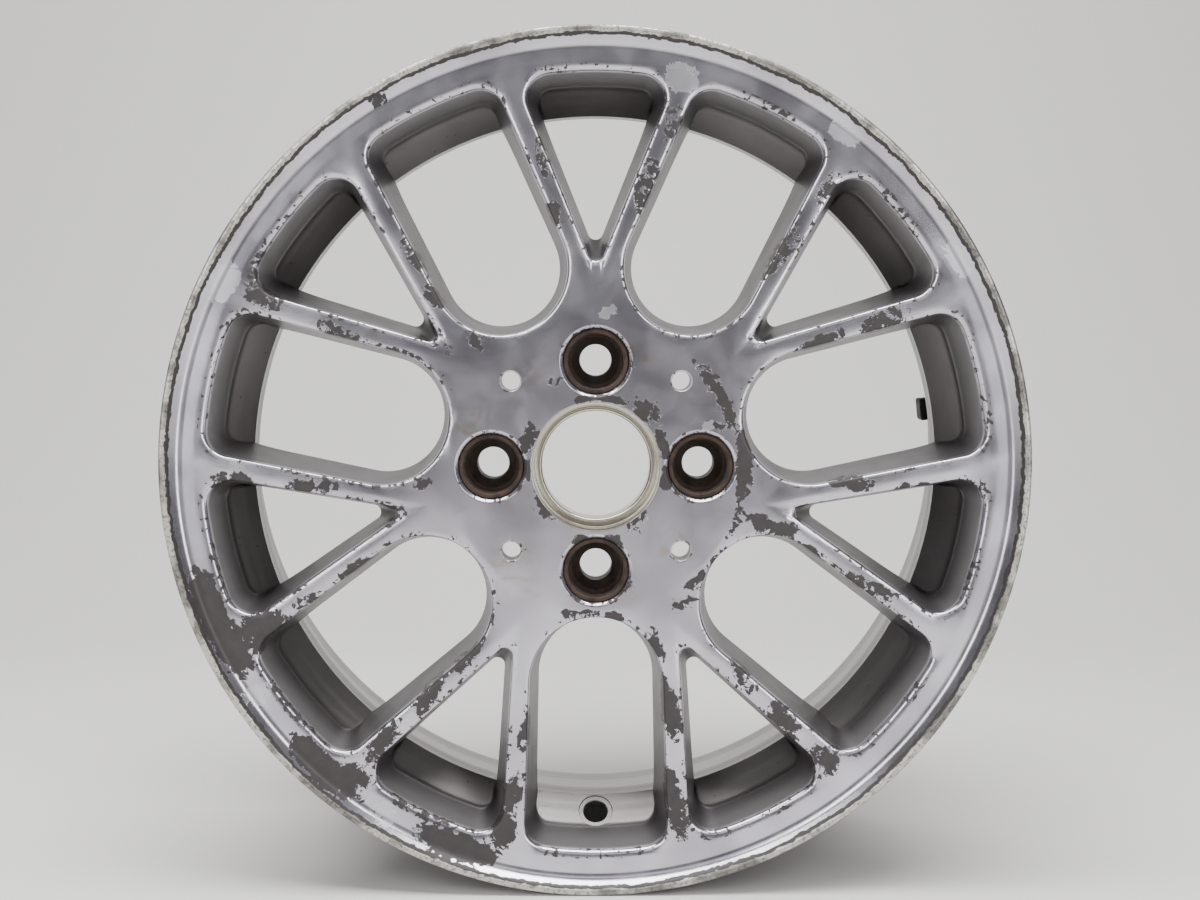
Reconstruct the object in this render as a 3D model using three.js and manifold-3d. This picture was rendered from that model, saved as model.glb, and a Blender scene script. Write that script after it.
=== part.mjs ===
// Forged one-piece car wheel, 15 x 6J, four 100 mm bolt holes, seven V-shaped pairs of spokes.
//
// Millimetres. The wheel's axis is Y, its front faces -Y, +Z is up and the origin is its centre.
// Depths are measured back from the front flange's edge, and angles from +X, counter-clockwise
// as seen from the front. The forging is split into its regions, a small gap apart.

import * as THREE from 'three';
import { mergeVertices } from 'three/addons/utils/BufferGeometryUtils.js';
import Module from 'manifold-3d';

const wasm = await Module();
wasm.setup();

const degree = Math.PI / 180;

// ---- Driving dimensions ----

const gap = 0.3;                 // between neighbouring solids

const rimWidth = 174;            // over both flanges
const beadRadius = 190.1;        // bead seats, where they meet the flanges
const flangeHeight = 17.3;       // flange edge above the bead seat
const flangeWidth = 10.8;        // flange edge to the tyre's bead
const flangeShoulder = 5.8;      // radius of a flange's outer shoulder
const flangeRootHeight = 3.9;    // where the flange ring ends, above the bead seat
const flangeEdge = 2.2;          // width of a flange's rounded edge
const edgeChamfer = 0.8;         // along that edge
const edgeFlat = 3.2;            // flange's flat front, below its edge
const seatWidth = 20;            // bead seats
const seatDrop = 1.7;            // fall of a bead seat over its width
const humpHeight = 0.8;          // safety hump above the end of a bead seat
const humpWidth = 3.6;
const humpEdge = 0.8;            // slopes at the hump's two sides
const heelWidth = 3;             // foot of a flange, where it meets the bead seat
const wellDepth = 17.2;          // drop centre below the bead seats
const wellWidth = 13.5;          // flat of the drop centre, outside
const wellRamp = 15.8;           // length of the ramp from the outer hump to the drop centre
const wellEdge = 1.5;            // blend between the ramp and the drop centre
const wellWall = 3.6;
const rampWall = 5.8;            // between the windows' back ends and the outer hump
const rampLead = 4;              // the ramp's inside reaches the well this much before its outside
const barrelLead = 4;            // from the drop centre to the start of the barrel
const barrelWall = 3.2;
const seatWall = 3.6;            // inner bead seat
const flareWidth = 5;            // widening inside the inner bead seat
const flareRise = 1.3;
const innerFlangeWall = 5.2;     // curled inner flange
const innerFlangeLean = 1.6;
const lipSlope = 4.4;            // rise of the lip from the spokes' faces to near its edge
const lipTop = 5;                // top of that slope, below the flange's edge
const lipLand = 3;               // flat part of the lip beside the windows
const lipFall = 0.3;             // of the flat part towards the front

const faceDepth = 5.2;           // front faces of the hub and spokes
const webBackDepth = 38;         // backs of the hub's arms; the spokes deepen from there to the rim
const offset = 45;               // mounting face in front of the rim's centre plane

const pairCount = 7;
const pairSplay = 23.05 * degree;   // each spoke from the centre line of its pair
const pairMeet = 81.1;              // where a pair's centre lines meet, from the axis
const spokeRootWidth = 7.5;         // spoke face at that meeting point
const spokeTaper = 0.75 * degree;   // growth of each side towards the rim
const spokeDraft = 8 * degree;      // the windows narrow towards the back
const spokeEdge = 1;                // chamfer along the spokes' front edges
const crotchRadius = 3.7;           // between the two spokes of a pair
const rootWall = 6.8;               // between a wide window and the lug pocket inside it
const windowCornerRadius = 12;
const windowBevel = 3.5;            // radial width of the bevel at the windows' outer ends
const armLead = 1;                  // from the pairs' crotches to where the hub's arms become spokes
const spokeLanding = 18.1;          // from where spokes reach the rim's landings to the bead seat

const boreRadius = 30;           // bore at the front
const boreDepth = 10;
const boreLipRadius = 26;        // lip inside the bore
const boreStep = 0.8;            // machined step round the bore's mouth
const rearBoreChamfer = 1;
const mountFaceWall = 6.8;       // mounting face beyond the lug holes
const mountFaceFlank = 4;        // slope of the mounting face's edge

const lugCount = 4;
const lugCircleRadius = 50;
const lugSleeveRadius = 15.4;    // outside of a pressed-in lug seat
const lugSleeveInside = 13.2;
const lugSleeveRecess = 1.6;     // sleeve below the hub's face
const lugChamfer = 1.5;
const lugConeDepth = 22;         // start of the conical seat
const lugConeAngle = 30 * degree;   // of its side from the axis
const lugConeRadius = 11.6;
const lugHoleRadius = 7.75;
const lugShoulderDepth = 29.7;   // shoulder that carries the sleeve
const lugTailRadius = 11.2;
const lugTailRecess = 0.6;       // tail below the mounting face

const pinHoleRadius = 4.65;      // small through holes between the lugs
const pinCircleRadius = 57.5;
const pinPocketRadius = 9;       // lightening pockets behind them
const pinPocketDepth = 20;

const valveHoleRadius = 5.85;
const valveSpotRadius = 8.2;
const valveSpotDepth = 0.7;
const valveDepth = 40.3;         // hole's centre on the ramp
const valveAngle = 270 * degree;

const ringBoreRadius = 27.05;    // centring ring
const ringWall = 7.15;
const ringLength = 9.4;
const ringRecess = 0.8;          // ring below the mounting face
const ringEndGap = 0.6;          // in front of the ring
const wireRadius = 0.75;         // retaining wire
const wireSink = 0.1;            // wire below the ring's outside
const wireSetback = 2.4;         // wire's centre behind the ring's front edge
const wireOpening = 40 * degree;

const weightLength = 12;         // balance weight, round the rim
const weightWidth = 14;
const weightThickness = 3.3;
const weightEdge = 1.1;
const tapeThickness = 0.9;
const weightSetback = 24;        // its centre, in front of the inner flange's edge
const weightAngle = 6.3 * degree;

const cutMargin = 1;             // holes are cut this far past a face
const windowOverrun = 10;        // and windows past their back ends

const ringSegments = 48;         // facets round the wheel
const holeSegments = 16;         // facets round a hole in the hub

// ---- Materials ----

function finish(color, metalness, roughness) {
  return () => new THREE.MeshStandardMaterial({ color, metalness, roughness, flatShading: true });
}

const brightCoat = finish(0xc4c2c6, 0.9, 0.3);
const sideCoat = finish(0x9c9a9c, 0.9, 0.4);
const barrelCoat = finish(0xaba9aa, 0.9, 0.42);
const blackedSteel = finish(0x33251e, 0.7, 0.55);
const ringAlloy = finish(0xb3b0a6, 0.9, 0.4);
const springSteel = finish(0x8f9194, 0.95, 0.3);
const zinc = finish(0x2e2d2d, 0.6, 0.6);
const foam = finish(0x1c1c1c, 0, 0.9);

// ---- Helpers ----

const point = (depth, radius) => new THREE.Vector2(depth, radius);

// Points of an arc in a profile; angles from the depth axis towards the radius axis.
function arc(centreDepth, centreRadius, radius, from, to, steps) {
  return Array.from({ length: steps + 1 }, (_, i) => {
    const angle = from + (to - from) * i / steps;
    return point(centreDepth + radius * Math.cos(angle), centreRadius + radius * Math.sin(angle));
  });
}

// A closed profile of depths and radii turned round Y. Its facets touch the true circle.
function turned(profile, segments, frontY) {
  const grow = 1 / Math.cos(Math.PI / segments);
  const clockwise = THREE.ShapeUtils.isClockWise(profile);
  const loop = clockwise ? profile : [...profile].reverse();
  const points = [...loop, loop[0]].map((p) => new THREE.Vector2(p.y * grow, p.x + frontY));
  return new THREE.LatheGeometry(points, segments, Math.PI / segments);
}

function solid(geometry) {
  const bare = geometry.clone();
  bare.deleteAttribute('normal');
  bare.deleteAttribute('uv');
  const merged = mergeVertices(bare, 1e-4);
  return new wasm.Manifold(new wasm.Mesh({
    numProp: 3,
    vertProperties: new Float32Array(merged.attributes.position.array),
    triVerts: new Uint32Array(merged.index.array),
  }));
}

function meshOf(name, body, material) {
  const cut = body.getMesh();
  const geometry = new THREE.BufferGeometry();
  geometry.setAttribute('position', new THREE.BufferAttribute(cut.vertProperties, 3));
  geometry.setIndex(new THREE.BufferAttribute(cut.triVerts, 1));
  geometry.computeVertexNormals();
  return named(name, geometry, material);
}

function named(name, geometry, material) {
  const mesh = new THREE.Mesh(geometry, material());
  mesh.name = name;
  return mesh;
}

// A closed solid through convex sections with the same number of points.
function loft(sections) {
  const count = sections[0].length;
  const last = (sections.length - 1) * count;
  const index = [];
  for (let i = 0; i < count; i++) {
    const next = (i + 1) % count;
    for (let start = 0; start < last; start += count) {
      index.push(start + i, start + count + i, start + next);
      index.push(start + next, start + count + i, start + count + next);
    }
    if (i > 0 && next > 0) {
      index.push(0, i, next);
      index.push(last, last + next, last + i);
    }
  }
  const geometry = new THREE.BufferGeometry();
  geometry.setAttribute('position', new THREE.Float32BufferAttribute(
    sections.flat().flatMap((p) => [p.x, p.y, p.z]), 3));
  geometry.setIndex(index);
  return geometry;
}

const rimFront = -rimWidth / 2;
const turnedRing = (profile) => solid(turned(profile, ringSegments, rimFront));
const onCircle = (radius, angle, depth) => new THREE.Vector3(
  radius * Math.cos(angle), rimFront + depth, radius * Math.sin(angle));

// ---- Rim profile ----

const flangeRadius = beadRadius + flangeHeight;
const flangeRootRadius = beadRadius + flangeRootHeight;
const seatEndDepth = flangeWidth + seatWidth;
const seatEndRadius = beadRadius - seatDrop;
const humpRadius = seatEndRadius + humpHeight;
const rampDepth = seatEndDepth + humpWidth;
const rampOuter = point(rampDepth, seatEndRadius);
const rampInner = point(rampDepth, seatEndRadius - rampWall);
const wellRadius = beadRadius - wellDepth;
const wellDepthStart = rampDepth + wellRamp;
const wellDepthEnd = wellDepthStart + wellWidth;
const wellInside = wellRadius - wellWall;
const wellInsideStart = point(wellDepthStart - rampLead, wellInside);
const wellInsideEnd = point(wellDepthEnd - wellWall, wellInside);
const innerRampDepth = rimWidth - rampDepth;
const innerFlangeStart = rimWidth - flangeWidth;
const seatInsideEnd = point(innerRampDepth, seatEndRadius - barrelWall);
const seatInsideFlange = point(innerFlangeStart - flareWidth, beadRadius - seatWall);
const flareRadius = beadRadius - seatWall + flareRise;

// Radius of the ramp's inner surface at a depth.
function rampInsideAt(depth) {
  const share = (depth - rampInner.x) / (wellInsideStart.x - rampInner.x);
  return THREE.MathUtils.lerp(rampInner.y, wellInsideStart.y, share);
}

function rampOutsideAt(depth) {
  return THREE.MathUtils.lerp(rampOuter.y, wellRadius, (depth - rampDepth) / wellRamp);
}

// The spokes and their landings end against the ramp.
const spokeEnd = beadRadius - spokeLanding;
const rampRun = (wellInsideStart.x - rampInner.x) / (rampInner.y - wellInsideStart.y);
const landingBack = rampDepth - 1.5 * gap + (rampInner.y - spokeEnd - gap) * rampRun;

function barrelInsideAt(depth) {
  const share = (depth - wellInsideEnd.x) / (seatInsideEnd.x - wellInsideEnd.x);
  return THREE.MathUtils.lerp(wellInsideEnd.y, seatInsideEnd.y, share);
}

function barrelOutsideAt(depth) {
  const share = (depth - wellDepthEnd) / (innerRampDepth - wellDepthEnd);
  return THREE.MathUtils.lerp(wellRadius, seatEndRadius, share);
}

// Outer shoulder of a flange, from its edge to its tyre side.
const shoulder = [
  point(flangeEdge, flangeRadius),
  ...arc(flangeWidth - flangeShoulder, flangeRadius - flangeShoulder, flangeShoulder,
    Math.PI / 2, 0, 3),
];
const mirrored = (points) => points.map((p) => point(rimWidth - p.x, p.y));

// Seat and hump from the heel inwards.
const seat = [
  point(flangeWidth, flangeRootRadius - gap),
  point(flangeWidth + edgeChamfer, beadRadius + edgeChamfer),
  point(flangeWidth + heelWidth, beadRadius - seatDrop * heelWidth / seatWidth),
  point(seatEndDepth - humpEdge, seatEndRadius),
  point(seatEndDepth + humpEdge, humpRadius),
  point(rampDepth - humpEdge, humpRadius),
];

// ---- Windows ----

// The wide windows reach in as far as the lug pockets allow.
const windowRootRadius = lugCircleRadius + lugSleeveRadius + gap + rootWall;

const pairPitch = 2 * Math.PI / pairCount;
const windows = Array.from({ length: pairCount }, (_, i) => [
  { angle: Math.PI / 2 + i * pairPitch, wide: false },
  { angle: Math.PI / 2 + (i + 0.5) * pairPitch, wide: true },
]).flat();

// Angle of a window's side from its own centre line, and how far the side passes from the axis.
function windowSide(wide, inset) {
  const pairAngle = wide ? pairPitch / 2 : 0;
  const side = wide ? pairAngle - pairSplay - spokeTaper : pairSplay - spokeTaper;
  const reach = pairMeet * Math.sin(pairAngle - side) - spokeRootWidth / 2 - inset;
  return { side, reach };
}

// Convex outline of a window about its own centre line: a round root, two straight sides,
// two round corners and an end concentric with the rim.
function windowOutline(wide, inset, endRadius) {
  const { side, reach } = windowSide(wide, inset);
  const rootRadius = wide
    ? (reach + (windowRootRadius + inset) * Math.sin(side)) / (1 - Math.sin(side))
    : crotchRadius;
  const rootCentre = wide
    ? windowRootRadius + inset + rootRadius
    : (rootRadius - reach) / Math.sin(side);
  const corner = windowCornerRadius - inset;
  const cornerAngle = side + Math.asin((reach - corner) / (endRadius - corner));
  const cornerCentre = new THREE.Vector2(Math.cos(cornerAngle), Math.sin(cornerAngle))
    .multiplyScalar(endRadius - corner);
  const normal = Math.PI / 2 + side;
  const half = [
    ...arc(rootCentre, 0, rootRadius, Math.PI, normal, wide ? 4 : 2),
    ...arc(cornerCentre.x, cornerCentre.y, corner, normal, cornerAngle, 3),
    ...arc(0, 0, endRadius, cornerAngle / 2, 0, 1),
  ];
  const other = half.slice(1, -1).reverse().map((p) => new THREE.Vector2(p.x, -p.y));
  return [...half, ...other].reverse();
}

const draftSlope = Math.tan(spokeDraft);

// The hub's arms end just past the crotches, measured at the web's back.
function crotchAt(depth) {
  const { side, reach } = windowSide(false, (depth - faceDepth) * draftSlope);
  return (crotchRadius - reach) / Math.sin(side) - crotchRadius;
}
const spokeStart = crotchAt(webBackDepth) + armLead;

const endRadiusBack = rampInner.y;
const endRadiusFront = endRadiusBack + (rampDepth - faceDepth - spokeEdge) * draftSlope;
const beyondBack = rampDepth + windowOverrun;

const windowSections = [
  { depth: faceDepth - spokeEdge, inset: -2 * spokeEdge, end: endRadiusFront + 2 * windowBevel },
  { depth: faceDepth + spokeEdge, inset: 0, end: endRadiusFront },
  { depth: rampDepth, inset: (rampDepth - faceDepth) * draftSlope, end: endRadiusBack },
  { depth: beyondBack, inset: (beyondBack - faceDepth) * draftSlope, end: rampInsideAt(beyondBack) },
];

function windowCutter({ angle, wide }) {
  return solid(loft(windowSections.map(({ depth, inset, end }) =>
    windowOutline(wide, inset, end).map((p) => onCircle(
      Math.hypot(p.x, p.y), angle + Math.atan2(p.y, p.x), depth)))));
}

const cutWindows = wasm.Manifold.union(windows.map(windowCutter));

// ---- Forging ----

function outerFlange() {
  const lipRadius = flangeRootRadius + lipLand;
  return turnedRing([
    point(faceDepth, flangeRootRadius),
    point(faceDepth - lipFall, lipRadius),
    point(faceDepth - lipSlope, flangeRadius - lipTop),
    point(0, flangeRadius - edgeFlat),
    point(edgeChamfer, flangeRadius - edgeChamfer),
    ...shoulder,
    point(flangeWidth, flangeRootRadius),
  ]);
}

// The stretch beside the windows, with a landing for each spoke.
function outerBeadSeat() {
  return turnedRing([
    point(faceDepth, spokeEnd + gap),
    point(faceDepth, flangeRootRadius - gap),
    ...seat,
    point(rampDepth - gap, rampOuter.y),
    point(rampDepth - gap, rampInner.y),
    point(landingBack, spokeEnd + gap),
  ]).subtract(cutWindows);
}

// A cylinder about a line through a point of the ramp, square to it.
function valveCylinder(radius, depthIn, depthOut) {
  const slope = Math.atan2(rampInner.y - wellInsideStart.y, wellInsideStart.x - rampInner.x);
  const direction = onCircle(Math.cos(slope), valveAngle, 0).setY(Math.sin(slope)).normalize();
  const middle = onCircle(rampInsideAt(valveDepth), valveAngle, valveDepth);
  const geometry = new THREE.CylinderGeometry(radius, radius, depthIn + depthOut, holeSegments);
  geometry.applyQuaternion(new THREE.Quaternion().setFromUnitVectors(
    new THREE.Vector3(0, 1, 0), direction));
  geometry.translate(...middle.addScaledVector(direction, (depthOut - depthIn) / 2));
  return solid(geometry);
}

function dropCentre() {
  const end = wellDepthEnd + barrelLead;
  const ring = turnedRing([
    rampInner,
    rampOuter,
    point(wellDepthStart - wellEdge, rampOutsideAt(wellDepthStart - wellEdge)),
    point(wellDepthStart + wellEdge, wellRadius),
    point(wellDepthEnd, wellRadius),
    point(end, barrelOutsideAt(end)),
    point(end, barrelInsideAt(end)),
    wellInsideEnd,
    point(wellInsideStart.x + wellEdge, wellInside),
    point(wellInsideStart.x - wellEdge, rampInsideAt(wellInsideStart.x - wellEdge)),
  ]);
  const through = 2 * rampWall;
  return ring
    .subtract(valveCylinder(valveHoleRadius, rampWall, through))
    .subtract(valveCylinder(valveSpotRadius, rampWall, valveSpotDepth));
}

function barrel() {
  const start = wellDepthEnd + barrelLead + gap;
  const end = innerRampDepth - gap;
  return turnedRing([
    point(start, barrelInsideAt(start)),
    point(start, barrelOutsideAt(start)),
    point(end, barrelOutsideAt(end)),
    point(end, barrelInsideAt(end)),
  ]);
}

function innerBeadSeat() {
  return turnedRing([
    seatInsideEnd,
    point(innerRampDepth, seatEndRadius),
    ...mirrored(seat).reverse().slice(0, -1),
    point(innerFlangeStart - gap, flangeRootRadius - gap),
    point(innerFlangeStart - gap, flareRadius),
    seatInsideFlange,
  ]);
}

// Curled outwards like a bell mouth.
function innerFlange() {
  const wallDepth = innerFlangeStart + innerFlangeWall;
  return turnedRing([
    point(innerFlangeStart, flareRadius),
    ...mirrored(shoulder).reverse(),
    point(rimWidth - edgeChamfer, flangeRadius - edgeChamfer),
    point(rimWidth, flangeRadius - edgeFlat),
    point(rimWidth, flangeRadius - edgeFlat - edgeChamfer),
    point(wallDepth + innerFlangeLean, beadRadius + flangeHeight / 2),
    point(wallDepth, beadRadius + heelWidth),
    point(innerFlangeStart + heelWidth, flareRadius + flareRise),
  ]);
}

const hubBackDepth = rimWidth / 2 - offset;
const mountFaceRadius = lugCircleRadius + lugTailRadius + mountFaceWall;
const boreLipDepth = faceDepth + boreDepth;
const ringBack = hubBackDepth - ringRecess;
const ringFront = ringBack - ringLength;
const ringRadius = ringBoreRadius + ringWall;
const rearBoreDepth = ringFront - ringEndGap;
const rearBoreRadius = ringRadius + gap;

// Outline of a lug seat's outside; the hub's hole is the same outline, grown.
function lugOutline(grow) {
  return [
    point(faceDepth + lugSleeveRecess - grow, 0),
    point(faceDepth + lugSleeveRecess - grow, lugSleeveRadius + grow),
    point(lugShoulderDepth + grow, lugSleeveRadius + grow),
    point(lugShoulderDepth + grow, lugTailRadius + grow),
    point(hubBackDepth - lugTailRecess + grow, lugTailRadius + grow),
    point(hubBackDepth - lugTailRecess + grow, 0),
  ];
}

// The hole's outline runs on past the hub's two faces, with a chamfer at the mouth.
function lugHole() {
  const grown = lugOutline(gap);
  const mouth = lugSleeveRadius + gap;
  return [
    point(faceDepth - cutMargin, 0),
    point(faceDepth - cutMargin, mouth + lugChamfer + cutMargin),
    point(faceDepth + lugChamfer, mouth),
    grown[2],
    grown[3],
    point(hubBackDepth + cutMargin, lugTailRadius + gap),
    point(hubBackDepth + cutMargin, 0),
  ];
}

function cylinder(radius, fromDepth, toDepth) {
  return [point(fromDepth, 0), point(fromDepth, radius), point(toDepth, radius), point(toDepth, 0)];
}

function aroundHub(profile, radius, firstAngle) {
  const hole = solid(turned(profile, holeSegments, rimFront));
  return Array.from({ length: lugCount }, (_, i) => {
    const centre = onCircle(radius, firstAngle + i * 2 * Math.PI / lugCount, 0);
    return hole.translate([centre.x, 0, centre.z]);
  });
}

function hubCentre() {
  const disc = turnedRing([
    point(faceDepth, boreRadius + boreStep),
    point(faceDepth, spokeStart),
    point(webBackDepth, spokeStart),
    point(webBackDepth, mountFaceRadius + mountFaceFlank),
    point(hubBackDepth, mountFaceRadius),
    point(hubBackDepth, rearBoreRadius + rearBoreChamfer),
    point(hubBackDepth - rearBoreChamfer, rearBoreRadius),
    point(rearBoreDepth, rearBoreRadius),
    point(rearBoreDepth, boreLipRadius),
    point(boreLipDepth, boreLipRadius),
    point(boreLipDepth, boreRadius),
    point(faceDepth + boreStep, boreRadius),
    point(faceDepth + boreStep, boreRadius + boreStep),
  ]);
  const halfTurn = Math.PI / lugCount;
  const pastBack = hubBackDepth + cutMargin;
  return disc.subtract(wasm.Manifold.union([
    cutWindows,
    ...aroundHub(lugHole(), lugCircleRadius, 0),
    ...aroundHub(cylinder(pinHoleRadius, 0, pastBack), pinCircleRadius, halfTurn),
    ...aroundHub(cylinder(pinPocketRadius, hubBackDepth - pinPocketDepth, pastBack),
      pinCircleRadius, halfTurn),
  ]));
}

function spokes() {
  const annulus = turnedRing([
    point(faceDepth, spokeStart + gap),
    point(faceDepth, spokeEnd),
    point(landingBack, spokeEnd),
    point(webBackDepth, spokeStart + gap),
  ]);
  const angleOf = (body) => {
    const { min, max } = body.boundingBox();
    const angle = Math.atan2(min[2] + max[2], min[0] + max[0]);
    return angle < 0 ? angle + 2 * Math.PI : angle;
  };
  return annulus.subtract(cutWindows).decompose().sort((a, b) => angleOf(a) - angleOf(b));
}

// ---- Pieces fitted to the forging ----

function lugSeats() {
  const outside = lugOutline(0);
  const coneLength = (lugConeRadius - lugHoleRadius) / Math.tan(lugConeAngle);
  const profile = [
    point(outside[1].x, lugSleeveInside),
    ...outside.slice(1, 5),
    point(outside[4].x, lugHoleRadius),
    point(lugConeDepth + coneLength, lugHoleRadius),
    point(lugConeDepth, lugConeRadius),
    point(lugConeDepth, lugSleeveInside),
  ];
  return Array.from({ length: lugCount }, (_, i) => {
    const seatMesh = named(`lug_seat_0${i + 1}`, turned(profile, holeSegments, 0), blackedSteel);
    seatMesh.position.copy(onCircle(lugCircleRadius, i * 2 * Math.PI / lugCount, 0));
    return seatMesh;
  });
}

const wireDepth = ringFront + wireSetback;
const wireCircle = ringRadius - wireRadius - wireSink;

function centringRing() {
  const groove = wireRadius + gap;
  const grooveFloor = wireCircle - wireRadius - gap;
  return named('centring_ring', turned([
    point(ringFront, ringBoreRadius),
    point(ringFront, ringRadius),
    point(wireDepth - groove, ringRadius),
    point(wireDepth - groove, grooveFloor),
    point(wireDepth + groove, grooveFloor),
    point(wireDepth + groove, ringRadius),
    point(ringBack, ringRadius),
    point(ringBack, ringBoreRadius),
  ], ringSegments, rimFront), ringAlloy);
}

class WireArc extends THREE.Curve {
  getPoint(t) {
    const angle = valveAngle + wireOpening / 2 + t * (2 * Math.PI - wireOpening);
    return onCircle(wireCircle, angle, wireDepth);
  }
}

function retainingWire() {
  const section = new THREE.Shape();
  section.absarc(0, 0, wireRadius, 0, 2 * Math.PI);
  const wire = new THREE.ExtrudeGeometry(section, {
    steps: 28, curveSegments: 3, extrudePath: new WireArc(),
  });
  return named('retaining_wire', wire, springSteel);
}

// A bevelled block whose back faces outwards, laid against the inner bead seat.
function block(length, width, thickness, edge) {
  const outline = (cut) => [[1, 1], [-1, 1], [-1, -1], [1, -1]].map(([i, j]) => [
    i * (length / 2 - cut), j * (width / 2 - cut)]);
  const at = (radius, cut) => outline(cut).map(([along, across]) =>
    new THREE.Vector3(-radius, across, along));
  return loft([at(thickness, edge), at(thickness - edge, 0), at(0, 0)]);
}

function weightGroup() {
  const weightDepth = rimWidth - weightSetback;
  const seatShare = (weightDepth - weightWidth / 2 - seatInsideEnd.x)
    / (seatInsideFlange.x - seatInsideEnd.x);
  const wallRadius = THREE.MathUtils.lerp(seatInsideEnd.y, seatInsideFlange.y, seatShare);
  const chordRise = wallRadius - Math.sqrt(wallRadius ** 2 - (weightLength / 2) ** 2);
  const tapeRadius = wallRadius - chordRise - gap;
  const group = new THREE.Group();
  group.rotation.y = -weightAngle;
  const tape = named('weight_tape', block(weightLength, weightWidth, tapeThickness, 0), foam);
  const weight = named('balance_weight',
    block(weightLength, weightWidth, weightThickness, weightEdge), zinc);
  tape.position.set(tapeRadius, rimFront + weightDepth, 0);
  weight.position.set(tapeRadius - tapeThickness - gap, rimFront + weightDepth, 0);
  group.add(tape, weight);
  return group;
}

// ---- Assembly ----

const wheel = new THREE.Group();
wheel.add(meshOf('hub_centre', hubCentre(), brightCoat));
spokes().forEach((body, i) => {
  wheel.add(meshOf(`spoke_${String(i + 1).padStart(2, '0')}`, body, sideCoat));
});
wheel.add(meshOf('outer_flange', outerFlange(), brightCoat));
wheel.add(meshOf('outer_bead_seat', outerBeadSeat(), brightCoat));
wheel.add(meshOf('drop_centre', dropCentre(), barrelCoat));
wheel.add(meshOf('barrel', barrel(), barrelCoat));
wheel.add(meshOf('inner_bead_seat', innerBeadSeat(), barrelCoat));
wheel.add(meshOf('inner_flange', innerFlange(), barrelCoat));
wheel.add(...lugSeats(), centringRing(), retainingWire(), weightGroup());

export default wheel;
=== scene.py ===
import math
from functools import partial

import bmesh
import bpy
import numpy as np
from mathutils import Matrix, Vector


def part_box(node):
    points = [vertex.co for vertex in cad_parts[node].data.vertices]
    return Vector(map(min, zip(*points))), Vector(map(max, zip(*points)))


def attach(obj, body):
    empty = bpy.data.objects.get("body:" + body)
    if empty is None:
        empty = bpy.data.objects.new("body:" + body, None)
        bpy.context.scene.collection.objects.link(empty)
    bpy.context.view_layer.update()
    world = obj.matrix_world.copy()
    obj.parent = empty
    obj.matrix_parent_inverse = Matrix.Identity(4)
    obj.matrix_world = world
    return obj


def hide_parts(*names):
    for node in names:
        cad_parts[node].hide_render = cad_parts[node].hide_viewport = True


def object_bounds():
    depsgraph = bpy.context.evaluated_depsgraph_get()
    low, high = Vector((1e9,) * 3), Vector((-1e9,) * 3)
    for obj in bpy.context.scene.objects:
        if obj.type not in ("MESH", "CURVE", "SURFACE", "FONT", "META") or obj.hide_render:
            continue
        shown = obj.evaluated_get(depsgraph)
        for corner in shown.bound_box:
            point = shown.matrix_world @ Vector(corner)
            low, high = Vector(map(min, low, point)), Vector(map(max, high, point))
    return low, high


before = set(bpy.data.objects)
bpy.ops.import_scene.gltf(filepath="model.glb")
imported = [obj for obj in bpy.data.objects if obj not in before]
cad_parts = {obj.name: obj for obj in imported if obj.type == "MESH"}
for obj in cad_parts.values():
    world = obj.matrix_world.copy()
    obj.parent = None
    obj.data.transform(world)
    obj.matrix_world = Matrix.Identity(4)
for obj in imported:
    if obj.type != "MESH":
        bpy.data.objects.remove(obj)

cadLow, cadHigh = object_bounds()
mm = 0.001
tau = 2 * math.pi


# camera and studio

camera = {"place": (-0.007, -0.972, 0.073), "tiltDown": 0.073, "turnRight": 0.010, "lens": 56.25}
studio = {
    "floor": "#dcdad8", "floorRoughness": 0.85, "floorReach": 40.0, "backWall": 1.3, "wallTop": 5.0,
    "sweep": 0.7, "sweepSteps": 16, "world": "#c9cacd", "worldStrength": 0.21,
    # name: (place, aimed at, size across and up in metres, watts)
    "lamps": {
        "overhead": ((-0.1, -0.35, 1.25), (0.0, 0.0, 0.0), (1.5, 0.7), 46),
        "frontLeft": ((-0.62, -1.2, 0.45), (0.0, 0.0, 0.0), (0.35, 1.2), 8),
        "frontRight": ((0.65, -1.15, 0.3), (0.0, 0.0, 0.0), (0.3, 1.2), 8),
        "frontTop": ((-0.2, -1.9, 1.05), (0.0, 0.0, 0.0), (1.5, 0.7), 3),
        "behind": ((0.3, 0.8, 1.3), (0.0, 0.4, -0.2), (1.6, 0.6), 7),
    },
}


def linear(hexColour):
    parts = [int(hexColour[i:i + 2], 16) / 255 for i in (1, 3, 5)]
    return tuple(c / 12.92 if c <= 0.04045 else ((c + 0.055) / 1.055) ** 2.4 for c in parts) + (1.0,)


# Adds a node of a kind: values fill its inputs in order, or by name. A node given as a value
# links its first output.
def addNode(tree, kind, settings, *values, **named):
    node = tree.nodes.new("ShaderNode" + kind)
    for name, value in settings.items():
        setattr(node, name, value)
    pairs = list(zip([i for i in node.inputs if i.enabled], values))
    pairs += [(node.inputs[name.replace("_", " ")], value) for name, value in named.items()]
    for socket, value in pairs:
        if isinstance(value, bpy.types.Node):
            value = next(o for o in value.outputs if o.enabled)
        if isinstance(value, bpy.types.NodeSocket):
            tree.links.new(value, socket)
        else:
            socket.default_value = value
    return node


# settings of the nodes used most
times, timesPlus, plus, minus, larger = (
    {"operation": name} for name in ("MULTIPLY", "MULTIPLY_ADD", "ADD", "SUBTRACT", "MAXIMUM"))
smoothly = {"interpolation_type": "SMOOTHSTEP"}
colours = {"data_type": "RGBA"}
numbers = {"data_type": "FLOAT"}


# Scale of a pattern whose features have a size in mm.
def each(size):
    return 1 / (size * mm)


def newMaterial(name):
    material = bpy.data.materials.new(name)
    material.use_nodes = True
    material.node_tree.nodes.clear()
    return material, material.node_tree


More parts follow.
